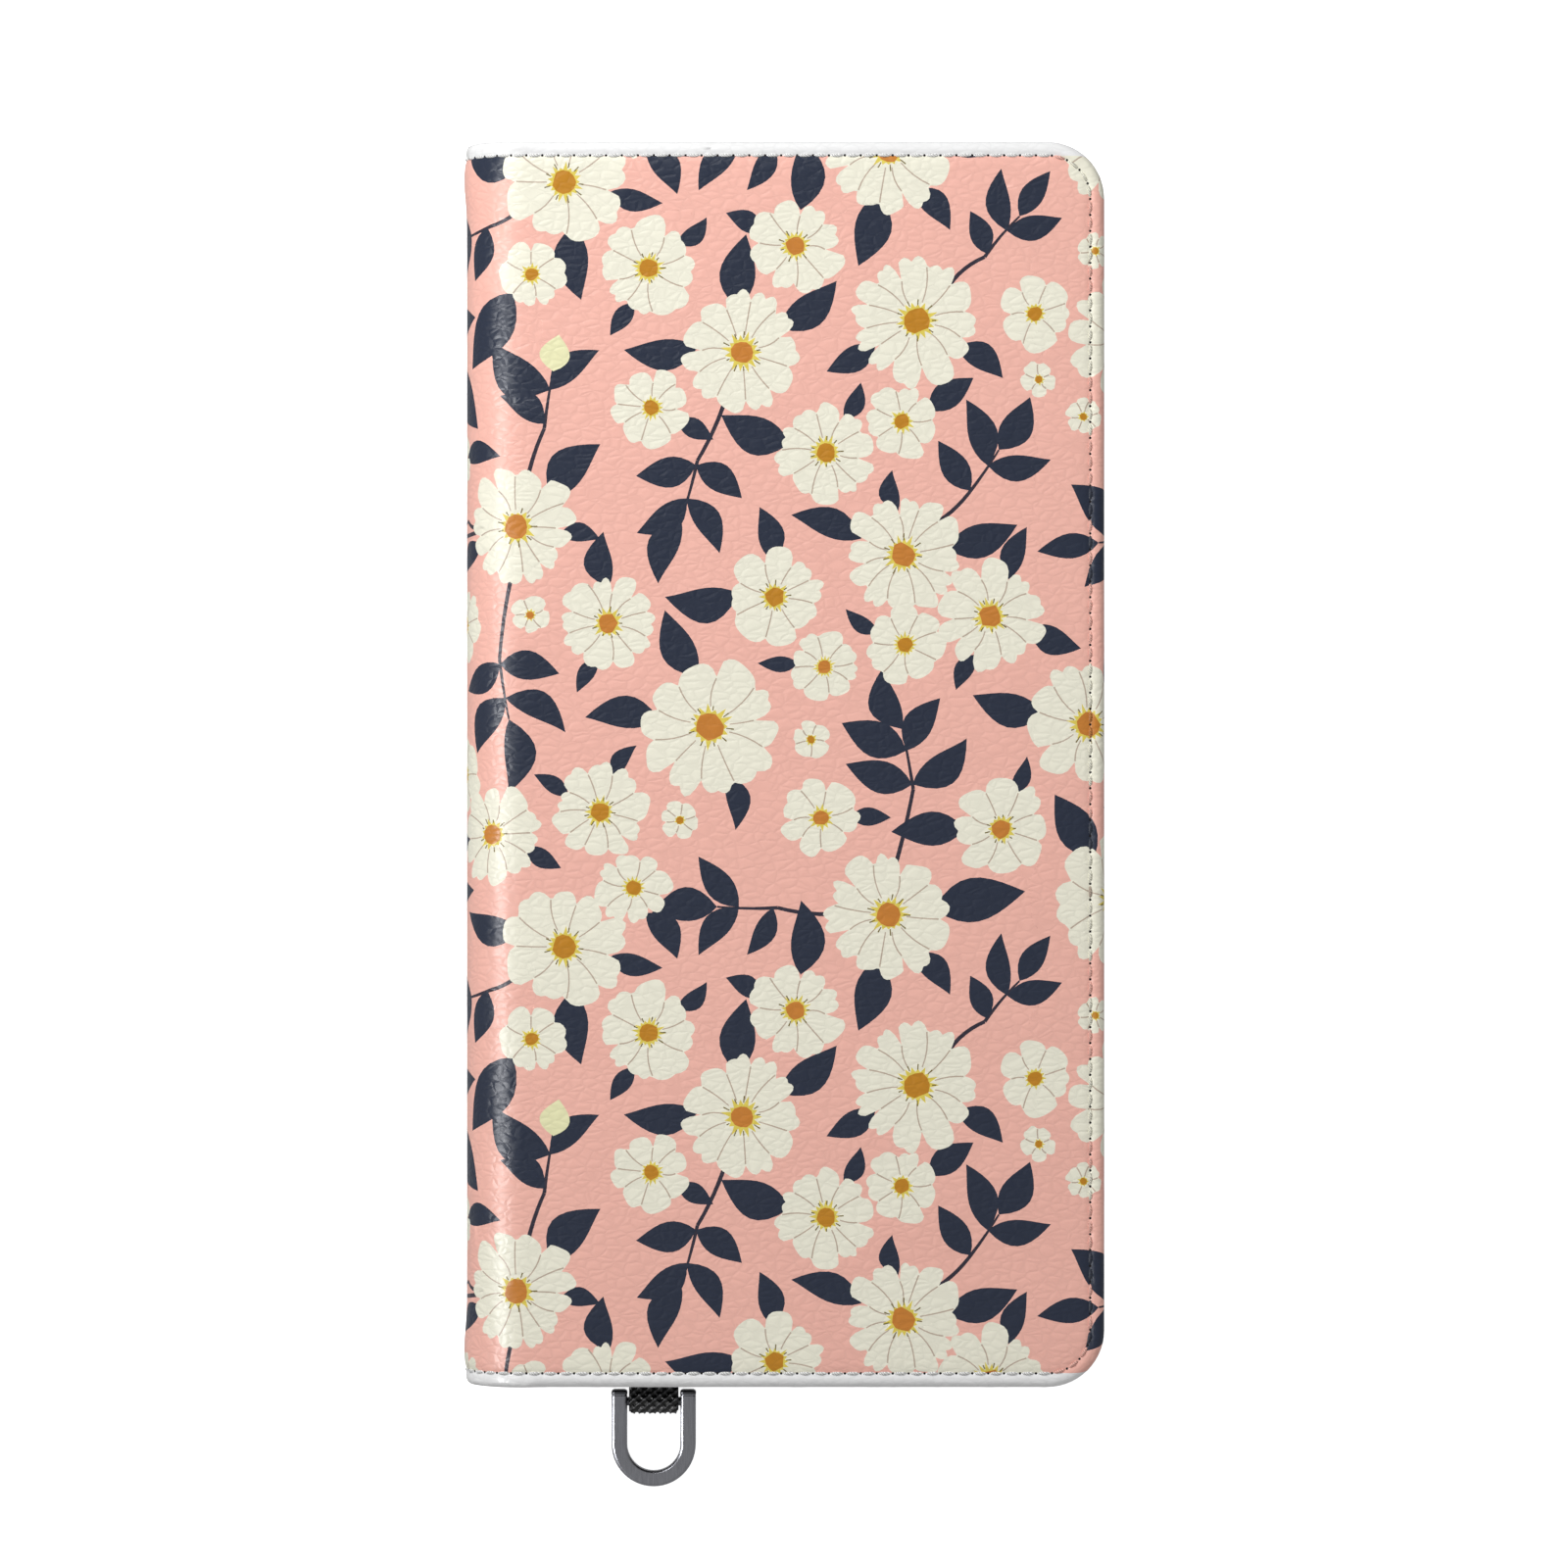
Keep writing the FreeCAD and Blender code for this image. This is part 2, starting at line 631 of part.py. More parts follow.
SPINE_BOARD_DEPTH = "(skin_thickness + spine_board_thickness)"
SPINE_LINING_DEPTH = f"({SPINE_BOARD_DEPTH} + lining_thickness)"
ADHESIVE_INSET = "(tray_foot_radius + adhesive_margin)"
ADHESIVE_WINDOW = "(0 - adhesive_margin)"

SUBPARTS = [
    cover_leather("back_cover_leather", False, [window("0")], [back_seam, loop]),
    fitted("back_stiffener_board", back_board_blank, [loop]),
    cover_lining("back_lining", False, [window("0")]),
    back_seam,
    layer(
        "tray_adhesive_sheet", [tray_outline(ADHESIVE_INSET), window(ADHESIVE_WINDOW)],
        ADHESIVE_FLOOR, "adhesive_thickness",
    ),
    phone_tray([plates]),
    plates,
    loop,
    side_button("volume_button", "volume_length", "volume_place"),
    side_button("power_button", "power_length", "power_place"),
    fitted("spine_leather", spine_skin_blank, [spine_seam]),
    spine_layer("spine_stiffener", "skin_thickness", SPINE_BOARD_DEPTH, "turned_edge"),
    spine_layer("spine_lining", SPINE_BOARD_DEPTH, SPINE_LINING_DEPTH, "lining_inset"),
    spine_seam,
    cover_leather("front_cover_leather", True, [], [front_seam]),
    layer("front_foam_pad", [cover("turned_edge", FRONT_STEP)], FRONT_BOARD_TOP, "foam_thickness"),
    fitted("front_stiffener_board", front_board_blank, [magnets]),
    cover_lining("front_lining", True, []),
    cash_pocket(),
    *[card_pocket(number) for number in (1, 2, 3)],
    magnets,
    front_seam,
    strap_ring(),
    ring_pin(),
]

document.recompute()
for item in document.Objects:
    if "Invalid" in item.State or "Error" in item.State:
        raise RuntimeError(f"{item.Label} failed: {item.State}")
for item in SUBPARTS:
    if item.Shape.isNull() or not item.Shape.isValid():
        raise RuntimeError(f"{item.Label} has no valid shape")

os.makedirs("parts", exist_ok=True)
for item in SUBPARTS:
    item.Shape.exportStep(f"parts/{item.Label}.step")
    extent = item.Shape.BoundBox
    print(
        f"{item.Label:24} solids {len(item.Shape.Solids)} volume {item.Shape.Volume:9.2f}"
        f" x {extent.XMin:7.2f} {extent.XMax:7.2f} y {extent.YMin:7.2f} {extent.YMax:7.2f}"
        f" z {extent.ZMin:6.2f} {extent.ZMax:6.2f}"
    )
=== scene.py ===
"""Looks of a wallet phone case with a printed leather cover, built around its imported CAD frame."""

import math
import random

import bpy
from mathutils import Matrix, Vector
from mathutils.geometry import delaunay_2d_cdt


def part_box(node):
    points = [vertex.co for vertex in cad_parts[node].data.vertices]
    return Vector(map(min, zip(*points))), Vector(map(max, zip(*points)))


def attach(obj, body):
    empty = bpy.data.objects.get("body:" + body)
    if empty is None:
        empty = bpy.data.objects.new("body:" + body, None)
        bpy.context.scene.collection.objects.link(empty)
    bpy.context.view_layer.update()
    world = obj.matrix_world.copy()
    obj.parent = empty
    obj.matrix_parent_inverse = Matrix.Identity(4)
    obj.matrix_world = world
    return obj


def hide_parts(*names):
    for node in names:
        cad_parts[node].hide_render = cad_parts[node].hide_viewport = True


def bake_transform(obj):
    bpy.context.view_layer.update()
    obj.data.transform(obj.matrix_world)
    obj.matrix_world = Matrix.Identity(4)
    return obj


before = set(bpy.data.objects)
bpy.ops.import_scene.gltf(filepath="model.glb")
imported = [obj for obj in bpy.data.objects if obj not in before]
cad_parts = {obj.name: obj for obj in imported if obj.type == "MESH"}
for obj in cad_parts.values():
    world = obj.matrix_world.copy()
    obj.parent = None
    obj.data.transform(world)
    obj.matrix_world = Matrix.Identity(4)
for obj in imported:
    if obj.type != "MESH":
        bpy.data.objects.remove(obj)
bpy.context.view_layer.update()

# ---------------- sizes, in millimetres

MM = 0.001


def node_box(node):
    low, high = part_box(node)
    return low / MM, high / MM


cover_high = node_box("front_cover_leather")[1]
spine_low = node_box("spine_leather")[0]
loop_low, loop_high = node_box("d_ring_loop")
ring_low, ring_high = node_box("d_ring")
pin_low, pin_high = node_box("d_ring_pin")

THICKNESS = cover_high.z  # of the closed case
RIGHT_EDGE = cover_high.x
TOP_EDGE = cover_high.y
LEFT_EDGE = spine_low.x
BEND_RADIUS = 8.0  # of the spine's two bends
CREASE = LEFT_EDGE + BEND_RADIUS  # where the flat covers start
BEND_LENGTH = BEND_RADIUS * math.pi / 2
FLAT_OF_SPINE = THICKNESS / 2 - BEND_RADIUS  # from a bend's end to the middle of the spine
SPINE_START = -(BEND_LENGTH + FLAT_OF_SPINE)  # the middle of the spine, seen from the crease
CORNER_RADIUS = 7.7

SEAM_INSET = 1.95  # of the stitches from the edge
SEAM_TOP = TOP_EDGE - SEAM_INSET
SEAM_RIGHT = RIGHT_EDGE - SEAM_INSET - CREASE
SEAM_CORNER = CORNER_RADIUS - SEAM_INSET
STITCH_PITCH = 2.15
STITCH_REACH = 1.75  # from hole to hole
THREAD_RADIUS = 0.24
WHITE_STRIP_START = TOP_EDGE - 2.0  # the unprinted strips along the top and the bottom

COVER_ROLL = 1.25  # radius of the front cover's turned edge
BACK_ROLL = 1.0
SPINE_ROLL = 0.75
STEP_WIDTH = 2.4  # over which the spine's thickness grows to that of a cover
TURNED_UNDER = 0.8
LEATHER = 0.5
ROLL_LENGTH = SEAM_INSET - COVER_ROLL + math.pi * COVER_ROLL + TURNED_UNDER

TILE = 103.0  # the print repeats after this distance both ways
GRID_STEP = 2.6  # between the skin's inner points
SEAM_STEP = 1.3  # between points along the seam
BEND_COLUMNS = 16
BEND_STEP = BEND_LENGTH / BEND_COLUMNS
CORNER_STEPS = 14

# ---------------- materials


def new_material(name):
    material = bpy.data.materials.new(name)
    material.use_nodes = True
    tree = material.node_tree
    return material, tree, tree.nodes["Principled BSDF"]


def feed(tree, node, inputs):
    """Sets a node's inputs, given by name or number, or links those that come from a socket."""
    for name, value in inputs.items():
        if isinstance(value, bpy.types.NodeSocket):
            tree.links.new(value, node.inputs[name])
        else:
            node.inputs[name].default_value = value


def add(tree, kind, inputs, **settings):
    node = tree.nodes.new(kind)
    for name, value in settings.items():
        setattr(node, name, value)
    feed(tree, node, inputs)
    return node


def scaled(tree, place, scale, turn=0.0):
    inputs = {"Vector": place, "Scale": scale, "Rotation": (0, 0, turn)}
    return add(tree, "ShaderNodeMapping", inputs).outputs["Vector"]


def millimetres(tree, on_sheet=False):
    """Coordinates in millimetres: along a laid-out sheet, or in the object's own frame."""
    if on_sheet:
        return add(tree, "ShaderNodeAttribute", {}, attribute_name="sheet_place").outputs["Vector"]
    return scaled(tree, add(tree, "ShaderNodeTexCoord", {}).outputs["Object"], (1 / MM,) * 3)


def noise_value(tree, place, scale, detail=3.0, roughness=0.55):
    inputs = {"Vector": place, "Scale": scale, "Detail": detail, "Roughness": roughness}
    return add(tree, "ShaderNodeTexNoise", inputs).outputs["Fac"]


def between(tree, value, low, high, start=0.3, end=0.7):
    """value, which runs from start to end, spread over low to high."""
    inputs = {"Value": value, "From Min": start, "From Max": end, "To Min": low, "To Max": high}
    return add(tree, "ShaderNodeMapRange", inputs).outputs["Result"]


def arithmetic(tree, operation, first, second):
    return add(tree, "ShaderNodeMath", {0: first, 1: second}, operation=operation).outputs["Value"]


def linear(colour):
    """A colour given as 0-255 screen values, as the shader takes it."""
    shares = [c / 255 for c in colour]
    return [s / 12.92 if s < 0.04045 else ((s + 0.055) / 1.055) ** 2.4 for s in shares] + [1.0]


def blend_colours(tree, value, colours, places=(0.3, 0.7)):
    ramp = add(tree, "ShaderNodeValToRGB", {"Fac": value})
    for element, place, colour in zip(ramp.color_ramp.elements, places, colours):
        element.position = place
        element.color = linear(colour)
    return ramp.outputs["Color"]


def tinted(tree, value, colour, darkest, places=(0.3, 0.7)):
    """colour, and that share of it where value is low."""
    dark = [min(255, c * darkest) for c in colour]
    return blend_colours(tree, value, (dark, colour), places)


def bump(tree, height, distance):
    """The normal of a surface on which a height of 1 stands for distance, in millimetres."""
    inputs = {"Height": height, "Strength": 1.0, "Distance": distance * MM}
    return add(tree, "ShaderNodeBump", inputs).outputs["Normal"]


PEBBLE_TURN = math.radians(-28)
PEBBLE_STRETCH = (0.72, 1.25, 1.0)
PEBBLE_WANDER = 0.9  # how far the pebbles' edges stray, in cells
PEBBLE_EDGE = 0.28  # where a pebble has risen to its top, in cells from its edge


def pebbles(tree, place, cell):
    """Leather grain: soft, drawn-out pebbles about one cell across, 0 at their edges and 1 on top."""
    drawn_out = scaled(tree, place, PEBBLE_STRETCH, PEBBLE_TURN)
    wander = add(tree, "ShaderNodeTexNoise", {"Vector": place, "Scale": 0.5 / cell, "Detail": 2.0})
    inputs = {0: wander.outputs["Color"], 1: (PEBBLE_WANDER * cell, PEBBLE_WANDER * cell, 0.0), 2: drawn_out}
    pushed = add(tree, "ShaderNodeVectorMath", inputs, operation="MULTIPLY_ADD").outputs["Vector"]
    inputs = {"Vector": pushed, "Scale": 1 / cell}
    cells = add(tree, "ShaderNodeTexVoronoi", inputs, feature="DISTANCE_TO_EDGE")
    return between(tree, cells.outputs["Distance"], 0.0, 1.0, 0.0, PEBBLE_EDGE)


PAINTED_CREASE_SHADE = 0.955  # painted shade of the leather between its pebbles: the share of its colour left there
PORE_DEPTH = 0.25  # of the pores, as a share of the grain's


def leather(name, colour, cell=1.35, depth=0.042, low=0.29, high=0.39, on_sheet=True):
    """Coated leather: pebble grain, fine pores, a slight mottle, and painted shade that darkens the creases a
    little.
    """
    material, tree, shader = new_material(name)
    place = millimetres(tree, on_sheet)
    grain = pebbles(tree, place, cell)
    fine = noise_value(tree, place, 2.2)
    mottle = between(tree, noise_value(tree, place, 0.12), 0.94, 1.0)
    height = arithmetic(tree, "ADD", grain, arithmetic(tree, "MULTIPLY", fine, PORE_DEPTH))
    # Painted shade: the colour is darkened in the creases between the pebbles, on top of a random mottle.
    painted_light_and_mottle = arithmetic(tree, "MULTIPLY", between(tree, grain, 0.9, 1.0, 0.0, 0.5), mottle)
    feed(tree, shader, {
        "Base Color": tinted(tree, painted_light_and_mottle, colour, PAINTED_CREASE_SHADE, (0.8, 1.0)),
        "Roughness": between(tree, fine, low, high),
        "Specular IOR Level": 0.4,
        "Normal": bump(tree, height, depth),
    })
    return material


def thread(name, colour):
    """Sewing thread: twisted strands and a dull sheen."""
    material, tree, shader = new_material(name)
    inputs = {"Vector": millimetres(tree), "Scale": 1.6, "Distortion": 1.0}
    wave = add(tree, "ShaderNodeTexWave", inputs, wave_type="BANDS", bands_direction="DIAGONAL")
    twist = wave.outputs["Fac"]
    feed(tree, shader, {
        "Base Color": tinted(tree, twist, colour, 0.8),
        "Roughness": 0.6,
        "Sheen Weight": 0.2,
        "Normal": bump(tree, twist, 0.05),
    })
    return material


def plastic(name, colour, low=0.42, high=0.55):
    """Moulded plastic with a fine spark-eroded surface."""
    material, tree, shader = new_material(name)
    place = millimetres(tree)
    fine = noise_value(tree, place, 3.5, 4.0)
    feed(tree, shader, {
        "Base Color": tinted(tree, noise_value(tree, place, 0.3), colour, 0.86),
        "Roughness": between(tree, fine, low, high),
        "Specular IOR Level": 0.45,
        "Normal": bump(tree, fine, 0.025),
    })
    return material


def metal(name, colour, low=0.22, high=0.34):
    """Plated metal with faint polishing marks along y."""
    material, tree, shader = new_material(name)
    marks = noise_value(tree, scaled(tree, millimetres(tree), (1.0, 0.06, 1.0)), 6.0, 4.0)
    feed(tree, shader, {
        "Base Color": tinted(tree, marks, colour, 0.93),
        "Roughness": between(tree, marks, low, high),
        "Metallic": 1.0,
        "Normal": bump(tree, marks, 0.006),
    })
    return material


def fibrous(name, colour, scale=1.5, depth=0.05):
    """Board, adhesive or foam seen close: a matt surface with loose fibres or pores."""
    material, tree, shader = new_material(name)
    fibres = noise_value(tree, millimetres(tree), scale, 5.0, 0.7)
    feed(tree, shader, {
        "Base Color": tinted(tree, fibres, colour, 0.75),
        "Roughness": between(tree, fibres, 0.75, 0.95),
        "Normal": bump(tree, fibres, depth),
    })
    return material


PRINT_COLOURS = {
    "ground": (251, 191, 176),
    "petal": (247, 244, 225),
    "bud": (240, 238, 190),
    "vein": (196, 178, 160),
    "fringe": (232, 212, 92),
    "heart": (198, 134, 26),
    "warm_heart": (206, 130, 48),
    "stamen": (120, 104, 44),
    "leaf": (34, 43, 63),
    "stem": (48, 43, 58),
}
LINING_COLOUR = (44, 45, 49)

print_materials = {name: leather("print_" + name, colour) for name, colour in PRINT_COLOURS.items()}
print_materials["white"] = leather("white_strip", (246, 246, 246), depth=0.02, low=0.2, high=0.28)
# The needle holes are painted near black: partly the dark thread seen through them, partly painted shade in
# the holes.
print_materials["hole"] = leather("needle_hole", (34, 28, 30), low=0.8, high=0.9)
lining_leather = leather("lining_leather", LINING_COLOUR, 0.8, 0.03, 0.45, 0.6)
pocket_leather = leather("pocket_leather", LINING_COLOUR, 0.8, 0.03, 0.42, 0.56, on_sheet=False)
threads = {name: thread("thread_" + name, colour) for name, colour in PRINT_COLOURS.items()}
threads["white"] = thread("thread_white", (244, 244, 242))
lining_thread = thread("lining_thread", (62, 63, 68))

# ---------------- the cover laid out flat

# A place on a cover is (across, y): across counts from the crease, towards the free edge,
# and is negative around the bend of the spine. height is outwards from the cover's face.


def wrapped_round(across, y, height, side):
    """Where a place of the laid-out cover is. side is 1 for the front cover and -1 for the back."""
    if across >= 0:
        x = CREASE + across
        depth = -height
    elif across >= -BEND_LENGTH:
        turn = -across / BEND_RADIUS
        reach = BEND_RADIUS + height
        x = CREASE - reach * math.sin(turn)
        depth = BEND_RADIUS - reach * math.cos(turn)
    else:
        x = LEFT_EDGE - height
        depth = BEND_RADIUS + (-across - BEND_LENGTH)
    z = THICKNESS - depth if side > 0 else depth
    return Vector((x, y, z))


def pointing(angle):
    return Vector((math.cos(angle), math.sin(angle)))


def left_of(way):
    return Vector((-way.y, way.x))


def past_seam(across, y):
    """How far outside the seam line a place is, the nearest place on that line, and the way outwards."""
    core_across = min(across, SEAM_RIGHT - SEAM_CORNER)
    core_y = max(-SEAM_TOP + SEAM_CORNER, min(SEAM_TOP - SEAM_CORNER, y))
    outwards = Vector((across - core_across, y - core_y))
    reach = outwards.length
    if reach < 1e-9:
        return -SEAM_CORNER, None, None
    outwards /= reach
    nearest = Vector((core_across, core_y)) + outwards * SEAM_CORNER
    return reach - SEAM_CORNER, nearest, outwards


def share_of(value, start, end):
    """0 before start, 1 after end, and smooth between."""
    t = max(0.0, min(1.0, (value - start) / (end - start)))
    return t * t * (3 - 2 * t)


def turned_edge(distance, radius):
    """(how far out, how far down) a point is that lies distance past the seam along the skin."""
    flat = SEAM_INSET - radius
    if distance < flat:
        return distance, 0.0
    turn = (distance - flat) / radius
    if turn < math.pi:
        return flat + radius * math.sin(turn), radius * (1 - math.cos(turn))
    return flat - (turn - math.pi) * radius, 2 * radius


GROOVE_DEPTH = 0.15
GROOVE_WIDTH = 0.42
SHOULDER_DROP = 0.13
SHOULDER_WIDTH = 3.0
SPINE_BULGE = 0.4
BULGE_PLACE = 4.5  # of its crest, from the spine's end
BULGE_WIDTH = 3.5
BULGE_START = 5.0  # how far round the bend it begins, and where it is full
BULGE_FULL = 11.0


def seam_relief(distance):
    """Height of the skin near the seam: a groove in a soft shoulder."""
    groove = GROOVE_DEPTH * math.exp(-((distance / GROOVE_WIDTH) ** 2))
    shoulder = SHOULDER_DROP * math.exp(-abs(distance) / SHOULDER_WIDTH)
    return -groove - shoulder


def spine_bulge(across, y):
    """The turned-in ends of the spine stand out a little."""
    from_crest = TOP_EDGE - abs(y) - BULGE_PLACE
    round_bend = share_of(-across, BULGE_START, BULGE_FULL)
    return SPINE_BULGE * math.exp(-((from_crest / BULGE_WIDTH) ** 2)) * round_bend


def cover_point(across, y, side, pushed_in=0.0):
    """Where a point of the laid-out skin is once its edges are turned in."""
    distance, nearest, outwards = past_seam(across, y)
    height = seam_relief(distance) + spine_bulge(across, y) - pushed_in
    if distance > 0:
        full = COVER_ROLL if side > 0 else BACK_ROLL
        radius = SPINE_ROLL + (full - SPINE_ROLL) * share_of(across, 0.0, STEP_WIDTH)
        out, down = turned_edge(distance, radius)
        across, y = nearest + outwards * out
        height -= down
    return wrapped_round(across, y, height, side)


# ---------------- the seam line and its parallels


def seam_runs():
    """The seam's straight runs and corners: (length, start, heading, turning)."""
    top_run = SEAM_RIGHT - SEAM_CORNER - SPINE_START
    side_run = 2 * (SEAM_TOP - SEAM_CORNER)
    corner = SEAM_CORNER * math.pi / 2
    return (
        (top_run, Vector((SPINE_START, SEAM_TOP)), 0.0, False),
        (corner, Vector((SEAM_RIGHT - SEAM_CORNER, SEAM_TOP - SEAM_CORNER)), 0.0, True),
        (side_run, Vector((SEAM_RIGHT, SEAM_TOP - SEAM_CORNER)), -90.0, False),
        (corner, Vector((SEAM_RIGHT - SEAM_CORNER, -SEAM_TOP + SEAM_CORNER)), -90.0, True),
        (top_run, Vector((SEAM_RIGHT - SEAM_CORNER, -SEAM_TOP)), 180.0, False),
    )


SEAM_LENGTH = sum(run[0] for run in seam_runs())
STITCH_COUNT = round(SEAM_LENGTH / STITCH_PITCH)


def along_seam(distance):
    """The place at that distance along the seam, and the outward direction there."""
    for length, start, heading, turning in seam_runs():
        if distance <= length + 1e-6:
            break
        distance -= length
    angle = math.radians(heading)
    if turning:
        angle += math.pi / 2 - distance / SEAM_CORNER
        outwards = pointing(angle)
        return start + outwards * SEAM_CORNER, outwards
    forwards = pointing(angle)
    return start + forwards * distance, left_of(forwards)


def parallel(offset):
    """Points on the line that runs offset outside the seam, close enough for the bend of the spine."""
    points = []
    passed = 0.0
    for length, _, _, turning in seam_runs():
        count = CORNER_STEPS if turning else round(length / SEAM_STEP)
        for index in range(count):
            place, outwards = along_seam(passed + length * (index + 0.001) / count)
            points.append(place + outwards * offset)
        passed += length
    place, outwards = along_seam(SEAM_LENGTH)
    return points + [place + outwards * offset]


def sheet_outline(offset):
    """The edge of a sheet that reaches offset outside the seam, closed along the middle of the spine."""
    return parallel(offset) + [(SPINE_START, y) for y in range(-80, 81, 4)]


# ---------------- the print


def polar(centre, angle, reach):
    return (centre[0] + reach * math.cos(angle), centre[1] + reach * math.sin(angle))


def strip(points, widths):
    """The outline of a band along points, with a width at each."""
    left, right = [], []
    for index, point in enumerate(points):
        before = Vector(points[max(index - 1, 0)])
        after = Vector(points[min(index + 1, len(points) - 1)])
        along = (after - before).normalized()
        across = left_of(along) * widths[index] / 2
        left.append(tuple(Vector(point) + across))
        right.append(tuple(Vector(point) - across))
    return left + right[::-1]


def curved_stem(start, end, sag, thick, thin, steps=7):
    """A stem from start to end that bows sideways by sag, and tapers."""
    start, end = Vector(start), Vector(end)
    along = end - start
    side = left_of(along).normalized()
    points, widths = [], []
    for index in range(steps + 1):
        t = index / steps
        points.append(start + along * t + side * sag * 4 * t * (1 - t))
        widths.append(thick + (thin - thick) * t)
    return strip(points, widths)


LEAF_STEPS = 9
NARROW_SIDE = 0.86  # the width of a leaf's narrower half, as a share of the other's


def leaf_outline(base, heading, length, fatness, bow):
    """A pointed oval that bows to one side."""
    forwards = pointing(heading)
    sideways = left_of(forwards)
    edges = []
    for side, share in ((1, 1.0), (-1, NARROW_SIDE)):
        edge = []
        for index in range(1, LEAF_STEPS):
            t = index / LEAF_STEPS
            swell = math.sin(math.pi * t**0.92) ** 0.95
            half_width = length * fatness / 2 * share * swell * (1.12 - 0.3 * t)
            across = bow * length * 4 * t * (1 - t) + side * half_width
            edge.append(tuple(Vector(base) + forwards * length * t + sideways * across))
        edges.append(edge)
    tip = tuple(Vector(base) + forwards * length)
    return [tuple(base)] + edges[0] + [tip] + edges[1][::-1]


DETAILED_FROM = 4  # flowers above this radius are drawn more finely
STAMENS_FROM = 6  # and above this one they have stamens
STAMENS = 9
HEART_CORNERS = 11


def flower_shapes(rng, centre, radius, petals):
    """A daisy: petals in one outline, lines between them, a fringe, a heart and stamens."""
    turns = [1 + rng.uniform(-0.24, 0.24) for _ in range(petals)]
    unit = 2 * math.pi / sum(turns)
    angle = rng.uniform(0, 2 * math.pi)
    outline, meetings = [], []
    points_per_petal = 10 if radius > DETAILED_FROM else 7
    for turn in turns:
        length = radius * rng.uniform(0.88, 1.04)
        cleft = rng.choice((0.14, 0.2, 0.32))
        notch = rng.choice((0.0, 0.0, 0.05, 0.09))
        lean = rng.uniform(-0.05, 0.05)
        for step in range(points_per_petal):
            share = step / points_per_petal
            from_middle = 2 * share - 1
            reach = 1 - cleft * abs(from_middle) ** 3.4 - notch * math.exp(-((from_middle / 0.2) ** 2))
            reach += lean * math.sin(3.1 * from_middle)
            outline.append(polar(centre, angle + share * turn * unit, reach * length))
        meetings.append((angle, length * (1 - cleft)))
        angle += turn * unit
    shapes = [(outline, "petal")]
    for meeting, reach in meetings:
        bow = rng.uniform(-0.12, 0.12)
        inner = polar(centre, meeting + bow, 0.28 * radius)
        outer = polar(centre, meeting, 0.97 * reach)
        shapes.append((curved_stem(inner, outer, bow * radius * 0.3, 0.16, 0.2, 4), "vein"))
    spikes = rng.randint(13, 17) if radius > DETAILED_FROM else 9
    fringe = []
    for spike in range(spikes):
        turn = 2 * math.pi * spike / spikes
        fringe.append(polar(centre, turn, radius * rng.uniform(0.23, 0.36)))
        fringe.append(polar(centre, turn + math.pi / spikes, radius * 0.2))
    shapes.append((fringe, "fringe"))
    heart = rng.choice(("heart", "heart", "warm_heart"))
    bumps = [radius * 0.19 * rng.uniform(0.88, 1.12) for _ in range(HEART_CORNERS)]
    turns = [2 * math.pi * index / HEART_CORNERS for index in range(HEART_CORNERS)]
    shapes.append(([polar(centre, turn, reach) for turn, reach in zip(turns, bumps)], heart))
    if radius > STAMENS_FROM:
        for index in range(STAMENS):
            turn = 2 * math.pi * (index + rng.uniform(-0.2, 0.2)) / STAMENS
            inner = polar(centre, turn, radius * 0.23)
            outer = polar(centre, turn, radius * rng.uniform(0.28, 0.35))
            shapes.append((strip([inner, outer], [0.14, 0.18]), "stamen"))
    return shapes


# Radius, how many in a tile, fewest and most petals, and the room left around (None: as much as there is).
LARGE_FLOWERS = ((9.0, 10, 9, 12, None),)
OTHER_FLOWERS = (
    (7.2, 9, 8, 10, None),
    (5.2, 11, 6, 8, 1.3),
    (2.6, 6, 5, 7, 1.2),
)
LEAF_LENGTHS = (12.5, 10.0, 7.5, 5.5)
LEAF_TRIES = 28
LEAVES_APART = 0.75  # least angle between two leaves of a flower
LEAF_BEARERS = (4, 6, 7.5)  # a flower shows a leaf for each of these radii that it exceeds
CANDIDATES = 160
LARGE_SPRIGS = 9
SMALL_SPRIGS = 16
SPRIG_REACH = 10.5
LEAST_ROOM = 2.6  # for a sprig
ROOM_FOR_LOW_LEAVES = 4.5


def tile_step(start, end):
    """The shortest way from start to end, with the tile's edges joined up."""
    return [(end[axis] - start[axis] + TILE / 2) % TILE - TILE / 2 for axis in (0, 1)]


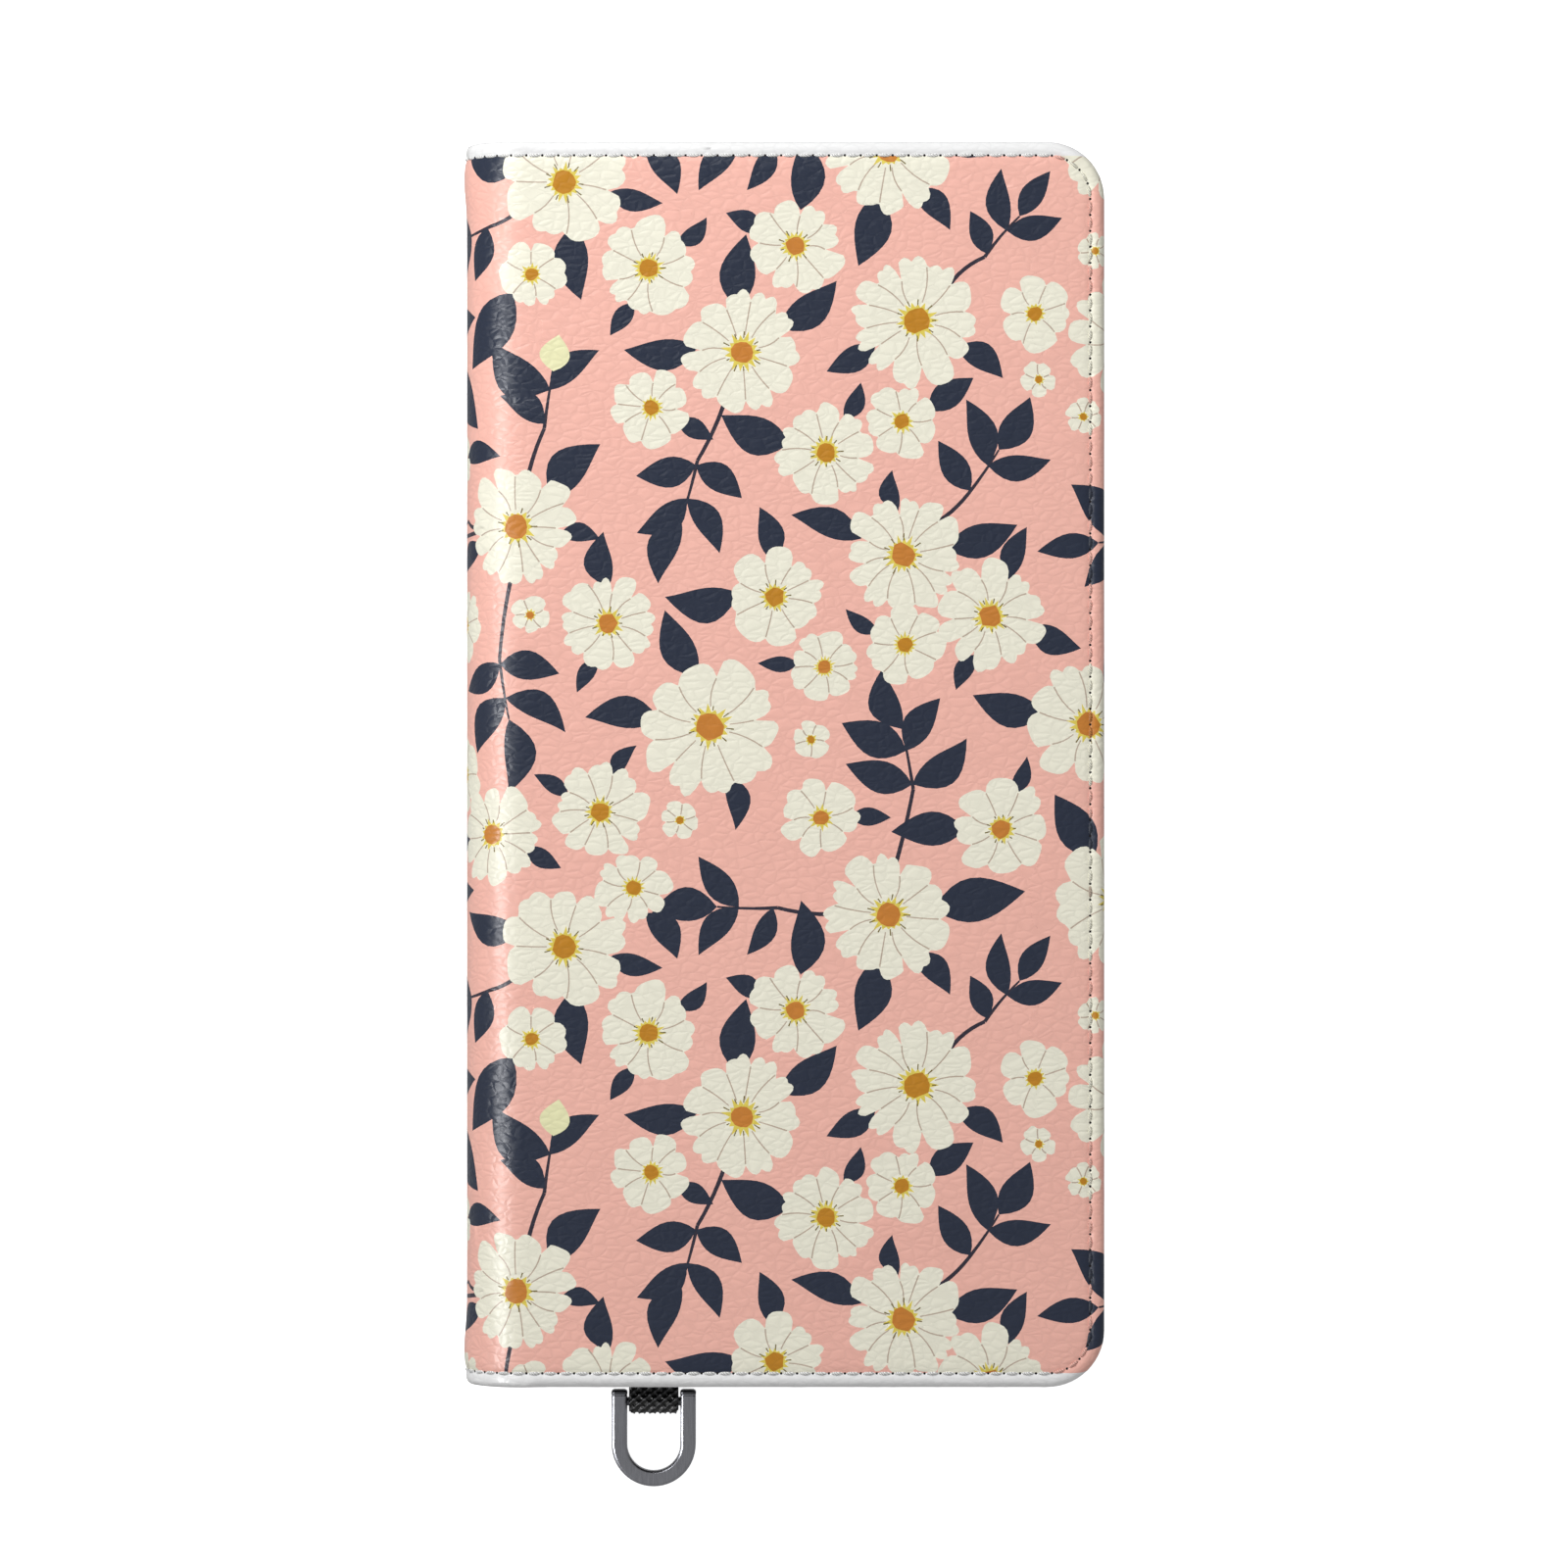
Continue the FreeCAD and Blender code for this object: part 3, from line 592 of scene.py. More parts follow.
class Tile:
    """One repeat of the print: its shapes, and what room is taken."""

    def __init__(self, seed):
        self.rng = random.Random(seed)
        self.taken = []
        self.flowers = []
        self.stems = []
        self.leaves = []
        self.blooms = []
        self.place_flowers(LARGE_FLOWERS)
        self.place_sprigs(LARGE_SPRIGS)
        self.place_flowers(OTHER_FLOWERS)
        self.place_leaves()
        self.place_sprigs(SMALL_SPRIGS)

    def room(self, place, ignored=None):
        """How far the nearest taken disc is."""
        nearest = TILE
        for disc in self.taken:
            if disc is ignored:
                continue
            across, along = tile_step(disc, place)
            nearest = min(nearest, math.hypot(across, along) - disc[2])
        return nearest

    def anywhere(self):
        return (self.rng.uniform(0, TILE), self.rng.uniform(0, TILE))

    def place_flowers(self, groups):
        for radius, count, fewest, most, gap in groups:
            for _ in range(count):
                places = [self.anywhere() for _ in range(CANDIDATES)]
                if gap is None:
                    best = max(places, key=self.room)
                else:
                    best = min(places, key=lambda place: abs(self.room(place) - radius - gap))
                size = radius * self.rng.uniform(0.9, 1.08)
                disc = (best[0], best[1], size)
                self.taken.append(disc)
                self.flowers.append(disc)
                self.blooms += flower_shapes(self.rng, best, size, self.rng.randint(fewest, most))

    def add_leaf(self, base, heading, length):
        fatness = self.rng.uniform(0.43, 0.57)
        bow = self.rng.uniform(-0.15, 0.15)
        self.leaves.append((leaf_outline(base, heading, length, fatness, bow), "leaf"))
        for share in (0.3, 0.6, 0.9):
            x, y = polar(base, heading, length * share)
            self.taken.append((x, y, length * (0.2 if share < 0.8 else 0.08)))

    def place_leaves(self):
        """Leaves look out from under the flowers, where there is room."""
        for disc in self.flowers:
            wanted = sum(disc[2] > radius for radius in LEAF_BEARERS)
            used = []
            for length in LEAF_LENGTHS:
                for _ in range(LEAF_TRIES):
                    heading = self.rng.uniform(0, 2 * math.pi)
                    apart = [abs((heading - other + math.pi) % (2 * math.pi) - math.pi) for other in used]
                    if len(used) >= wanted or min(apart, default=math.pi) < LEAVES_APART:
                        continue
                    base = polar(disc, heading, disc[2] * 0.72)
                    checks = [polar(base, heading, length * share) for share in (0.55, 0.8, 1.0)]
                    if min(self.room(check, disc) for check in checks) > length * 0.12 + 0.4:
                        self.add_leaf(base, heading + self.rng.uniform(-0.25, 0.25), length)
                        used.append(heading)

    def place_sprigs(self, count):
        """The widest gaps get sprigs, each on a stem from the nearest flower."""
        for index in range(count):
            middle = max([self.anywhere() for _ in range(CANDIDATES)], key=self.room)
            room = min(self.room(middle), SPRIG_REACH)
            if room < LEAST_ROOM:
                break
            root, heading = self.nearest_flower(middle)
            heading += self.rng.uniform(-0.3, 0.3)
            joint = polar(middle, heading, -room * 0.62)
            tip = polar(middle, heading, room * 0.16)
            sag = self.rng.uniform(-0.7, 0.7)
            self.stems.append((curved_stem(root, joint, sag, 0.6, 0.5), "stem"))
            self.stems.append((curved_stem(joint, tip, sag * 0.3, 0.5, 0.26), "stem"))
            if index % 5 == 4:
                bud = leaf_outline(polar(tip, heading, -0.4), heading, min(room, 5.0), 0.9, 0.0)
                self.blooms.append((bud, "bud"))
            else:
                self.leaflets(tip, heading, (0.0,), room * 0.92)
            self.leaflets(polar(middle, heading, -room * 0.12), heading, (0.9, -0.8), room * 0.96)
            if room > ROOM_FOR_LOW_LEAVES:
                turns = self.rng.choice(((1.2,), (-1.15,), (1.2, -1.15)))
                self.leaflets(polar(joint, heading, room * 0.06), heading, turns, room * 0.84)
            self.taken.append((middle[0], middle[1], room * 0.86))

    def leaflets(self, base, heading, turns, length):
        for turn in turns:
            turned = heading + turn + self.rng.uniform(-0.18, 0.18)
            bow = self.rng.uniform(-0.15, 0.15)
            fatness = self.rng.uniform(0.43, 0.57)
            outline = leaf_outline(base, turned, length * self.rng.uniform(0.78, 1.1), fatness, bow)
            self.leaves.append((outline, "leaf"))

    def nearest_flower(self, place):
        """A point under the nearest flower's petals, and the way from there to place."""
        best = None
        for disc in self.flowers:
            across, along = tile_step(disc, place)
            gap = math.hypot(across, along) - disc[2]
            if best is None or gap < best[0]:
                best = (gap, math.atan2(along, across), disc[2])
        gap, heading, radius = best
        return polar(place, heading + math.pi, gap + radius * 0.4), heading

    def shapes(self):
        """Every shape in the order of painting."""
        return self.stems + self.leaves + self.blooms


PRINT_SEED = 11
tile = Tile(PRINT_SEED)


def repeated_print(low, high):
    """The print's shapes that touch the box from low to high."""
    shapes = []
    for outline, colour in tile.shapes():
        xs = [point[0] for point in outline]
        ys = [point[1] for point in outline]
        for column in range(-2, 3):
            for row in range(-2, 3):
                shift_x, shift_y = column * TILE, row * TILE
                if max(xs) + shift_x < low[0] or min(xs) + shift_x > high[0]:
                    continue
                if max(ys) + shift_y < low[1] or min(ys) + shift_y > high[1]:
                    continue
                moved = [(x + shift_x, y + shift_y) for x, y in outline]
                shapes.append((moved, colour))
    return shapes


def is_inside(point, outline):
    inside = False
    x, y = point
    last_x, last_y = outline[-1]
    for corner_x, corner_y in outline:
        if (corner_y > y) != (last_y > y):
            crossing = (last_x - corner_x) * (y - corner_y) / (last_y - corner_y) + corner_x
            if x < crossing:
                inside = not inside
        last_x, last_y = corner_x, corner_y
    return inside


# ---------------- making meshes


def anticlockwise(outline):
    doubled = 0.0
    for (x1, y1), (x2, y2) in zip(outline, outline[1:] + outline[:1]):
        doubled += x1 * y2 - x2 * y1
    return outline if doubled > 0 else outline[::-1]


def new_object(name, data):
    made = bpy.data.objects.new(name, data)
    bpy.context.scene.collection.objects.link(made)
    return made


def new_piece(name, points, faces, materials, face_materials=None, sheet_places=None):
    """A smooth mesh object from points in millimetres."""
    mesh = bpy.data.meshes.new(name)
    mesh.from_pydata([tuple(Vector(point) * MM) for point in points], [], faces)
    for material in materials:
        mesh.materials.append(material)
    if face_materials is not None:
        mesh.polygons.foreach_set("material_index", face_materials)
    mesh.polygons.foreach_set("use_smooth", [True] * len(mesh.polygons))
    if sheet_places is not None:
        attribute = mesh.attributes.new("sheet_place", "FLOAT_VECTOR", "POINT")
        attribute.data.foreach_set("vector", [c for place in sheet_places for c in (*place, 0.0)[:3]])
    mesh.update()
    return new_object(name, mesh)


def band_faces(first, rows, columns, closed=True, flipped=False):
    """Quads between rows of points, numbered on from first; closed joins each row's end to its start."""
    faces = []
    for row in range(rows - 1):
        for column in range(columns if closed else columns - 1):
            low = first + row * columns
            here, after = low + column, low + (column + 1) % columns
            quad = (here, here + columns, after + columns, after)
            faces.append((quad[0], *quad[:0:-1]) if flipped else quad)
    return faces


def sharpen_rim(mesh):
    """The open edges are sharp, so that the sheet's cut edge doesn't darken its face."""
    uses = {}
    for polygon in mesh.polygons:
        for key in polygon.edge_keys:
            uses[key] = uses.get(key, 0) + 1
    for edge in mesh.edges:
        if uses[edge.key] == 1:
            edge.use_edge_sharp = True


def thicken(piece, thickness):
    """Gives a sheet its thickness, away from the side its faces look to."""
    sharpen_rim(piece.data)
    solidify = piece.modifiers.new("thickness", "SOLIDIFY")
    solidify.thickness = thickness * MM
    solidify.offset = -1.0
    solidify.use_even_offset = False


def soften(piece, name, width, segments, angle=30):
    """Rounds the edges that turn by more than angle, in degrees."""
    rounding = piece.modifiers.new(name, "BEVEL")
    rounding.width = width * MM
    rounding.segments = segments
    rounding.limit_method = "ANGLE"
    rounding.angle_limit = math.radians(angle)
    piece.modifiers.new("even shading", "WEIGHTED_NORMAL")


def triangulated(outline, lines, dots, shapes, openings=()):
    """Triangles that fill outline, with the lines and dots as vertices, and shapes painted in order.
    Gives the points, the faces, each face's shape (-1 where none) and which point each dot became."""
    points, edges, faces = [], [], []
    for shape in [outline, *openings, *[shape for shape, colour in shapes]]:
        start = len(points)
        ordered = anticlockwise([tuple(point) for point in shape])
        points += ordered
        faces.append(list(range(start, start + len(ordered))))
    for line in lines:
        start = len(points)
        points += [tuple(point) for point in line]
        edges += [(index, index + 1) for index in range(start, len(points) - 1)]
    first_dot = len(points)
    points += [tuple(dot) for dot in dots]
    result = delaunay_2d_cdt([Vector(point) for point in points], edges, faces, 0, 1e-5, True)
    out_points, _, out_faces, from_points, _, from_faces = result
    kept, owners = [], []
    for face, origins in zip(out_faces, from_faces):
        if 0 not in origins or any(0 < origin <= len(openings) for origin in origins):
            continue
        kept.append(list(face))
        painted = [origin for origin in origins if origin > len(openings)]
        owners.append(max(painted) - len(openings) - 1 if painted else -1)
    used = sorted({corner for face in kept for corner in face})
    renumbered = {old: new for new, old in enumerate(used)}
    kept = [[renumbered[corner] for corner in face] for face in kept]
    dot_points = {}
    for old in used:
        for origin in from_points[old]:
            if origin >= first_dot:
                dot_points[renumbered[old]] = origin - first_dot
    return [out_points[old] for old in used], kept, owners, dot_points


# ---------------- covers

WINDOW_LOW = Vector((-3.15 - CREASE, 13.9))  # corners of the back cover's camera window
WINDOW_HIGH = Vector((34.85 - CREASE, 75.9))
WINDOW_CORNER = 8.0
WINDOW_STEP = 2.2
WINDOW_ROLL = 0.9  # radius of the leather's edge around the window
WINDOW_WALL = 0.7
CREASE_PLACE = 2.0  # of the pressed line around the window, from its edge
CREASE_WIDTH = 0.35
CREASE_DEPTH = 0.14
NEEDLE_RADIUS = 0.18
HOLE_DEPTH = 0.35
HOLE_CORNERS = 8


def window_line(grow=0.0):
    """Points round the camera window, its corners rounded, grown by that much on every side."""
    radius = WINDOW_CORNER + grow
    low = WINDOW_LOW - Vector((grow, grow))
    high = WINDOW_HIGH + Vector((grow, grow))
    corners = (
        (high.x - radius, high.y - radius, 0),
        (low.x + radius, high.y - radius, 90),
        (low.x + radius, low.y + radius, 180),
        (high.x - radius, low.y + radius, 270),
    )
    turned = []
    for x, y, start in corners:
        for index in range(9):
            turned.append(Vector(polar((x, y), math.radians(start + index * 90 / 8), radius)))
    points = []
    for here, after in zip(turned, turned[1:] + turned[:1]):
        count = max(1, round((after - here).length / WINDOW_STEP))
        points += [here.lerp(after, index / count) for index in range(count)]
    return points


def past_window(across, y):
    """How far a place is inside the window's edge line, the nearest place on it, and the way inwards."""
    low = WINDOW_LOW - Vector((WINDOW_ROLL, WINDOW_ROLL))
    high = WINDOW_HIGH + Vector((WINDOW_ROLL, WINDOW_ROLL))
    radius = WINDOW_CORNER + WINDOW_ROLL
    core = Vector((
        max(low.x + radius, min(high.x - radius, across)),
        max(low.y + radius, min(high.y - radius, y)),
    ))
    outwards = Vector((across, y)) - core
    reach = outwards.length
    if reach < 1e-9:
        return radius, None, None
    outwards /= reach
    return radius - reach, core + outwards * radius, -outwards


def back_point(across, y, side, pushed_in=0.0):
    """A point of the back cover's skin, which also turns in around the camera window."""
    distance, nearest, inwards = past_window(across, y)
    crease = CREASE_DEPTH * math.exp(-(((distance + CREASE_PLACE) / CREASE_WIDTH) ** 2))
    if distance <= 0 or nearest is None:
        return cover_point(across, y, side, pushed_in + crease)
    turn = min(distance / WINDOW_ROLL, math.pi / 2)
    down = WINDOW_ROLL * (1 - math.cos(turn)) + max(0.0, distance - WINDOW_ROLL * math.pi / 2)
    across, y = nearest + inwards * WINDOW_ROLL * math.sin(turn)
    return wrapped_round(across, y, -down, side)


SEAM_CLEARANCE = 0.9  # the grid's points keep this far inside the seam
WINDOW_CLEARANCE = 1.0  # and this far from the window's edge line


def cover_grid(side):
    """Places for a sheet's inner vertices: wide steps on the flat, narrow ones round the bend."""
    places = []
    columns = [SPINE_START + FLAT_OF_SPINE + BEND_STEP * index for index in range(BEND_COLUMNS + 1)]
    columns += [GRID_STEP * index for index in range(1, int(SEAM_RIGHT / GRID_STEP) + 1)]
    rows = int(SEAM_TOP / GRID_STEP)
    for across in columns:
        for row in range(-rows, rows + 1):
            y = row * GRID_STEP
            clear = side > 0 or past_window(across, y)[0] < -WINDOW_CLEARANCE
            if clear and past_seam(across, y)[0] < -SEAM_CLEARANCE:
                places.append((across, y))
    return places


SEAM_ROWS = (-2.0, -0.9, -0.45, -0.2, 0.0, 0.2, 0.45)
ROLL_ROWS = 9
WINDOW_ROWS = 6
STRIP_EXCESS = 9  # the white strips' outlines reach this far past the skin's


def print_mapping(side):
    """From a place on the cover to the print's plane, which runs on round the spine, and back."""
    if side > 0:
        return (lambda across: CREASE + across), (lambda x: x - CREASE)
    middle = CREASE + SPINE_START
    return (lambda across: 2 * middle - CREASE - across), (lambda x: 2 * middle - CREASE - x)


def needle_hole(place):
    turns = [2 * math.pi * index / HOLE_CORNERS + 0.39 for index in range(HOLE_CORNERS)]
    return [polar(place, turn, NEEDLE_RADIUS) for turn in turns]


def build_cover(name, side):
    """The printed skin of one cover and its half of the spine, and the stitches through it."""
    to_print, from_print = print_mapping(side)

    def on_print(places):
        return [(to_print(across), y) for across, y in places]

    outline = on_print(sheet_outline(ROLL_LENGTH))
    flat = SEAM_INSET - COVER_ROLL
    roll_rows = [flat + (ROLL_LENGTH - flat) * index / ROLL_ROWS for index in range(ROLL_ROWS)]
    lines = [on_print(parallel(offset)) for offset in [*SEAM_ROWS, *roll_rows]]
    openings = []
    if side < 0:
        edge = WINDOW_ROLL * (1 - math.pi / 2) - WINDOW_WALL
        openings = [on_print(window_line(edge))]
        for index in range(-2, WINDOW_ROWS):
            line = window_line(WINDOW_ROLL - (WINDOW_ROLL - edge) * index / WINDOW_ROWS)
            lines.append(on_print(line + line[:1]))
    left = min(x for x, y in outline)
    right = max(x for x, y in outline)
    shapes = repeated_print((left, -TOP_EDGE), (right, TOP_EDGE))
    left, right = left - STRIP_EXCESS, right + STRIP_EXCESS
    for end in (1, -1):
        near, far = end * WHITE_STRIP_START, end * (TOP_EDGE + 2 * ROLL_LENGTH)
        shapes.append(([(left, near), (right, near), (right, far), (left, far)], "white"))
    painted = list(shapes)
    holes = on_print([along_seam(SEAM_LENGTH * (i + 0.5) / STITCH_COUNT)[0] for i in range(STITCH_COUNT)])
    shapes += [(needle_hole(hole), "hole") for hole in holes]
    dots = holes + on_print(cover_grid(side))
    flat_points, faces, owners, dot_points = triangulated(outline, lines, dots, shapes, openings)
    point_of = cover_point if side > 0 else back_point
    points = []
    for index, (x, y) in enumerate(flat_points):
        is_hole = dot_points.get(index, len(holes)) < len(holes)
        points.append(point_of(from_print(x), y, side, HOLE_DEPTH if is_hole else 0.0))
    names = list(print_materials)
    colours = [names.index(shapes[owner][1] if owner >= 0 else "ground") for owner in owners]
    piece = new_piece(name, points, faces, print_materials.values(), colours, [tuple(p) for p in flat_points])
    thicken(piece, LEATHER)
    return piece, build_stitches(name.replace("skin", "stitches"), side, painted, to_print)


def colour_under(point, painted):
    for outline, colour in reversed(painted):
        if is_inside(point, outline):
            return colour
    return "ground"


THREAD_SIDES = 7
THREAD_RINGS = 8
THREAD_NECK = 0.75  # a stitch's width at its ends, as a share of its full width
THREAD_BASE = -0.6  # height of its ends
THREAD_RISE = 0.38


def thread_tube(start, end, surface, points, faces):
    """One stitch from hole to hole: a short arc of thread. surface(place, sideways, height) gives points."""
    along = end - start
    first = len(points)
    for ring in range(THREAD_RINGS + 1):
        t = ring / THREAD_RINGS
        rise = math.sin(math.pi * t)
        for corner in range(THREAD_SIDES):
            turn = 2 * math.pi * corner / THREAD_SIDES
            sideways = THREAD_RADIUS * math.cos(turn) * (THREAD_NECK + (1 - THREAD_NECK) * rise)
            height = THREAD_BASE + THREAD_RISE * rise**0.6 + THREAD_RADIUS * math.sin(turn)
            points.append(surface(start + along * t, sideways, height))
    faces += band_faces(first, THREAD_RINGS + 1, THREAD_SIDES, flipped=True)


def seam_threads(surface):
    """Points and faces of the seam's stitches on surface(across, y, height), and their middles."""
    points, faces, middles = [], [], []
    for index in range(1, STITCH_COUNT):
        middle = SEAM_LENGTH * index / STITCH_COUNT
        place, outwards = along_seam(middle)
        start, end = [along_seam(middle + half)[0] for half in (-STITCH_REACH / 2, STITCH_REACH / 2)]

        def beside(spot, sideways, height, outwards=outwards):
            return surface(*(spot + outwards * sideways), height)

        thread_tube(start, end, beside, points, faces)
        middles.append(place)
    return points, faces, middles


def build_stitches(name, side, painted, to_print):
    """The seam's outer threads, each dyed like the print it lies on."""

    def on_cover(across, y, height):
        return wrapped_round(across, y, height + spine_bulge(across, y), side)

    points, faces, middles = seam_threads(on_cover)
    names = list(threads)
    colours = []
    for place in middles:
        colour = colour_under((to_print(place.x), place.y), painted)
        colours += [names.index(colour)] * (THREAD_RINGS * THREAD_SIDES)
    return new_piece(name, points, faces, threads.values(), colours)


front_skin, front_stitches = build_cover("front_cover_skin", 1)
back_skin, back_stitches = build_cover("back_cover_skin", -1)


def bend_with_front(piece):
    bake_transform(piece)


def bend_with_back(piece):
    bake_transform(piece)


bend_with_front(front_skin)
bend_with_front(front_stitches)
bend_with_back(back_skin)
bend_with_back(back_stitches)
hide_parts("front_cover_leather", "spine_leather")
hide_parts("back_cover_leather")
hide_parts("front_seam_thread", "spine_seam_threads")
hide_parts("back_seam_thread")

# ---------------- linings

LINING_INSET = 0.7
LINING_THICKNESS = 0.5
LINING_EDGE = 0.3
LINING_GROOVE = 0.12
LINING_THREAD_HEIGHT = 0.25
LINING_ROWS = (0.4, 0.2, 0.0, -0.2, -0.4, -1.2)
SPINE_DEPTH = 2.0  # from the spine's face to the lining's face
FRONT_DEPTH = 3.0
BACK_DEPTH = 2.5


def lining_point(across, y, side, raised=0.0):
    """A point of the inner sheet, which steps up from the spine on to the covers."""
    full = FRONT_DEPTH if side > 0 else BACK_DEPTH
    depth = SPINE_DEPTH + (full - SPINE_DEPTH) * share_of(across, 0.0, STEP_WIDTH)
    distance = past_seam(across, y)[0]
    edge = SEAM_INSET - LINING_INSET
    depth -= LINING_EDGE * share_of(distance, edge - LINING_EDGE, edge)
    depth -= LINING_GROOVE * math.exp(-((distance / GROOVE_WIDTH) ** 2))
    return wrapped_round(across, y, -depth - raised, side)


def build_lining(name, side):
    """The inner sheet of one cover and its half of the spine, and the threads that show on it."""
    edge = SEAM_INSET - LINING_INSET
    offsets = (edge - 0.1, edge - 0.2, edge - 0.3) + LINING_ROWS
    lines = [parallel(offset) for offset in offsets]
    openings = [] if side > 0 else [window_line()]
    flat_points, faces, _, _ = triangulated(sheet_outline(edge), lines, cover_grid(side), [], openings)
    points = [lining_point(a, y, side) for a, y in flat_points]
    faces = [face[::-1] for face in faces] if side > 0 else faces
    piece = new_piece(name, points, faces, [lining_leather], None, [tuple(p) for p in flat_points])
    thicken(piece, LINING_THICKNESS)

    def on_lining(across, y, height):
        return lining_point(across, y, side, height + LINING_THREAD_HEIGHT)

    points, faces, _ = seam_threads(on_lining)
    return piece, new_piece(name + "_stitches", points, faces, [lining_thread])


front_lining, front_lining_stitches = build_lining("front_lining_sheet", 1)
back_lining, back_lining_stitches = build_lining("back_lining_sheet", -1)
for piece in (front_lining, front_lining_stitches):
    bend_with_front(piece)
for piece in (back_lining, back_lining_stitches):
    bend_with_back(piece)
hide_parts("front_lining", "spine_lining")
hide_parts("back_lining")

# ---------------- pockets inside the front cover

POCKET_CORNER = 5.1
THUMB_NOTCH = 8.0
POCKET_SEAM = 1.1  # from a pocket's edge
POCKET_BEVEL = 0.12
POCKET_THREAD_HEIGHT = 0.28
MOUTH_SEAM_END = 1.5
OUTER_SEAM_END = 2.0


def free_corners(high, radius, steps):
    """The pockets' two rounded corners at the free edge, from the top one to the bottom one."""
    points = []
    for sign, start in ((1, 90), (-1, 0)):
        centre = (high.x - POCKET_CORNER, sign * (high.y - POCKET_CORNER))
        for index in range(steps + 1):
            points.append(Vector(polar(centre, math.radians(start - 90 / steps * index), radius)))
    return points


def pocket_outline(low, high):
    """A pocket's edge: rounded at the free edge's corners, with a thumb notch in its mouth."""
    notch = [Vector(polar((low.x, 0), math.radians(-90 + 15 * index), THUMB_NOTCH)) for index in range(13)]
    above = [Vector((low.x, y)) for y in (20.0, 40.0, 60.0, high.y)]
    below = [Vector((low.x, -point.y)) for point in reversed(above)]
    return notch + above + free_corners(high, POCKET_CORNER, 6) + below


def build_pocket(node):
    """A pocket's sheet with rounded cut edges."""
    low, high = node_box(node)
    outline = pocket_outline(low, high)
    count = len(outline)
    points = [(p.x, p.y, z) for z in (high.z, low.z) for p in outline]
    faces = [tuple(reversed(range(count))), tuple(range(count, 2 * count))]
    faces += band_faces(0, 2, count, flipped=True)
    piece = new_piece(node + "_sheet", points, faces, [pocket_leather])
    soften(piece, "cut edge", POCKET_BEVEL, 3)
    return piece


def mouth_seam(node):
    """The row of stitches along a pocket's mouth and round its thumb notch."""
    low, high = node_box(node)
    radius = THUMB_NOTCH + POCKET_SEAM
    x, end = low.x + POCKET_SEAM, high.y - MOUTH_SEAM_END
    round_notch = [Vector(polar((low.x, 0), math.radians(-83 + 166 / 14 * i), radius)) for i in range(15)]
    return [Vector((x, -end)), Vector((x, -radius))] + round_notch + [Vector((x, radius)), Vector((x, end))]


def outer_seam(node):
    """The row of stitches that holds the pockets along three sides."""
    low, high = node_box(node)
    corners = free_corners(high, POCKET_CORNER - POCKET_SEAM, 9)
    x, y = low.x + OUTER_SEAM_END, high.y - POCKET_SEAM
    return [Vector((x, y))] + corners + [Vector((x, -y))]


def flat_stitches(name, lines, face_z):
    """Stitches along lines on a face that looks down at face_z."""
    points, faces = [], []
    for line in lines:
        lengths = [(b - a).length for a, b in zip(line, line[1:])]
        count = round(sum(lengths) / STITCH_PITCH)
        for index in range(count):
            ends = []
            for share in (0.1, 0.9):
                left = sum(lengths) * (index + share) / count
                for a, b, length in zip(line, line[1:], lengths):
                    if left <= length + 1e-6:
                        break
                    left -= length
                ends.append(a.lerp(b, min(1.0, left / length)))
            along = (ends[1] - ends[0]).normalized()

            def on_face(spot, sideways, height, across=left_of(along)):
                place = spot + across * sideways
                return Vector((place.x, place.y, face_z - height - POCKET_THREAD_HEIGHT))

            thread_tube(ends[0], ends[1], on_face, points, faces)
    return new_piece(name, points, faces, [lining_thread])


pocket_nodes = ("cash_pocket", "card_pocket_1", "card_pocket_2", "card_pocket_3")
for node in pocket_nodes:
    pocket = build_pocket(node)
    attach(pocket, "front")
    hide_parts(node)
    seams = [mouth_seam(node)]
    if node == pocket_nodes[-1]:
        seams.append(outer_seam(node))
    stitches = flat_stitches(node + "_stitches", seams, node_box(node)[0].z)
    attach(stitches, "front")

# ---------------- ring and its loop

ring_middle = (ring_low.x + ring_high.x) / 2
BAR_WIDTH = 2.1
RING_BEND = (ring_high.x - ring_low.x - BAR_WIDTH) / 2  # radius of the bar's middle line
CAP_HEIGHT = 0.75  # of the dark knuckles
CHAMFER_WIDTH = 0.34
CHAMFER_HEIGHT = 0.2
BEND_STEPS = 28
ring_metal = metal("ring_metal", (158, 159, 165))
ring_cap_metal = metal("ring_cap_metal", (92, 93, 97), 0.3, 0.42)


def bar_section(scale=1.0):
    """Half sizes of the ring's bar, chamfered: (across the ring's plane, through it)."""
    half_width, half_height = BAR_WIDTH / 2 * scale, (ring_high.z - ring_low.z) / 2 * scale
    corners = []
    for sign_a, sign_b in ((1, 1), (-1, 1), (-1, -1), (1, -1)):
        first = (sign_a * half_width, sign_b * (half_height - CHAMFER_HEIGHT))
        second = (sign_a * (half_width - CHAMFER_WIDTH), sign_b * half_height)
        corners += [first, second] if sign_a * sign_b > 0 else [second, first]
    return corners


# Down one arm: the distance from its top, the bar's size there, and whether it is a knuckle.
ARM_STATIONS = (
    (0.0, 0.72, True), (0.12, 0.92, True), (0.32, 1.03, True), (CAP_HEIGHT - 0.1, 1.03, True),
    (CAP_HEIGHT, 0.95, False), (CAP_HEIGHT + 0.1, 1.0, False), (2.5, 1.0, False), (5.0, 1.0, False),
)


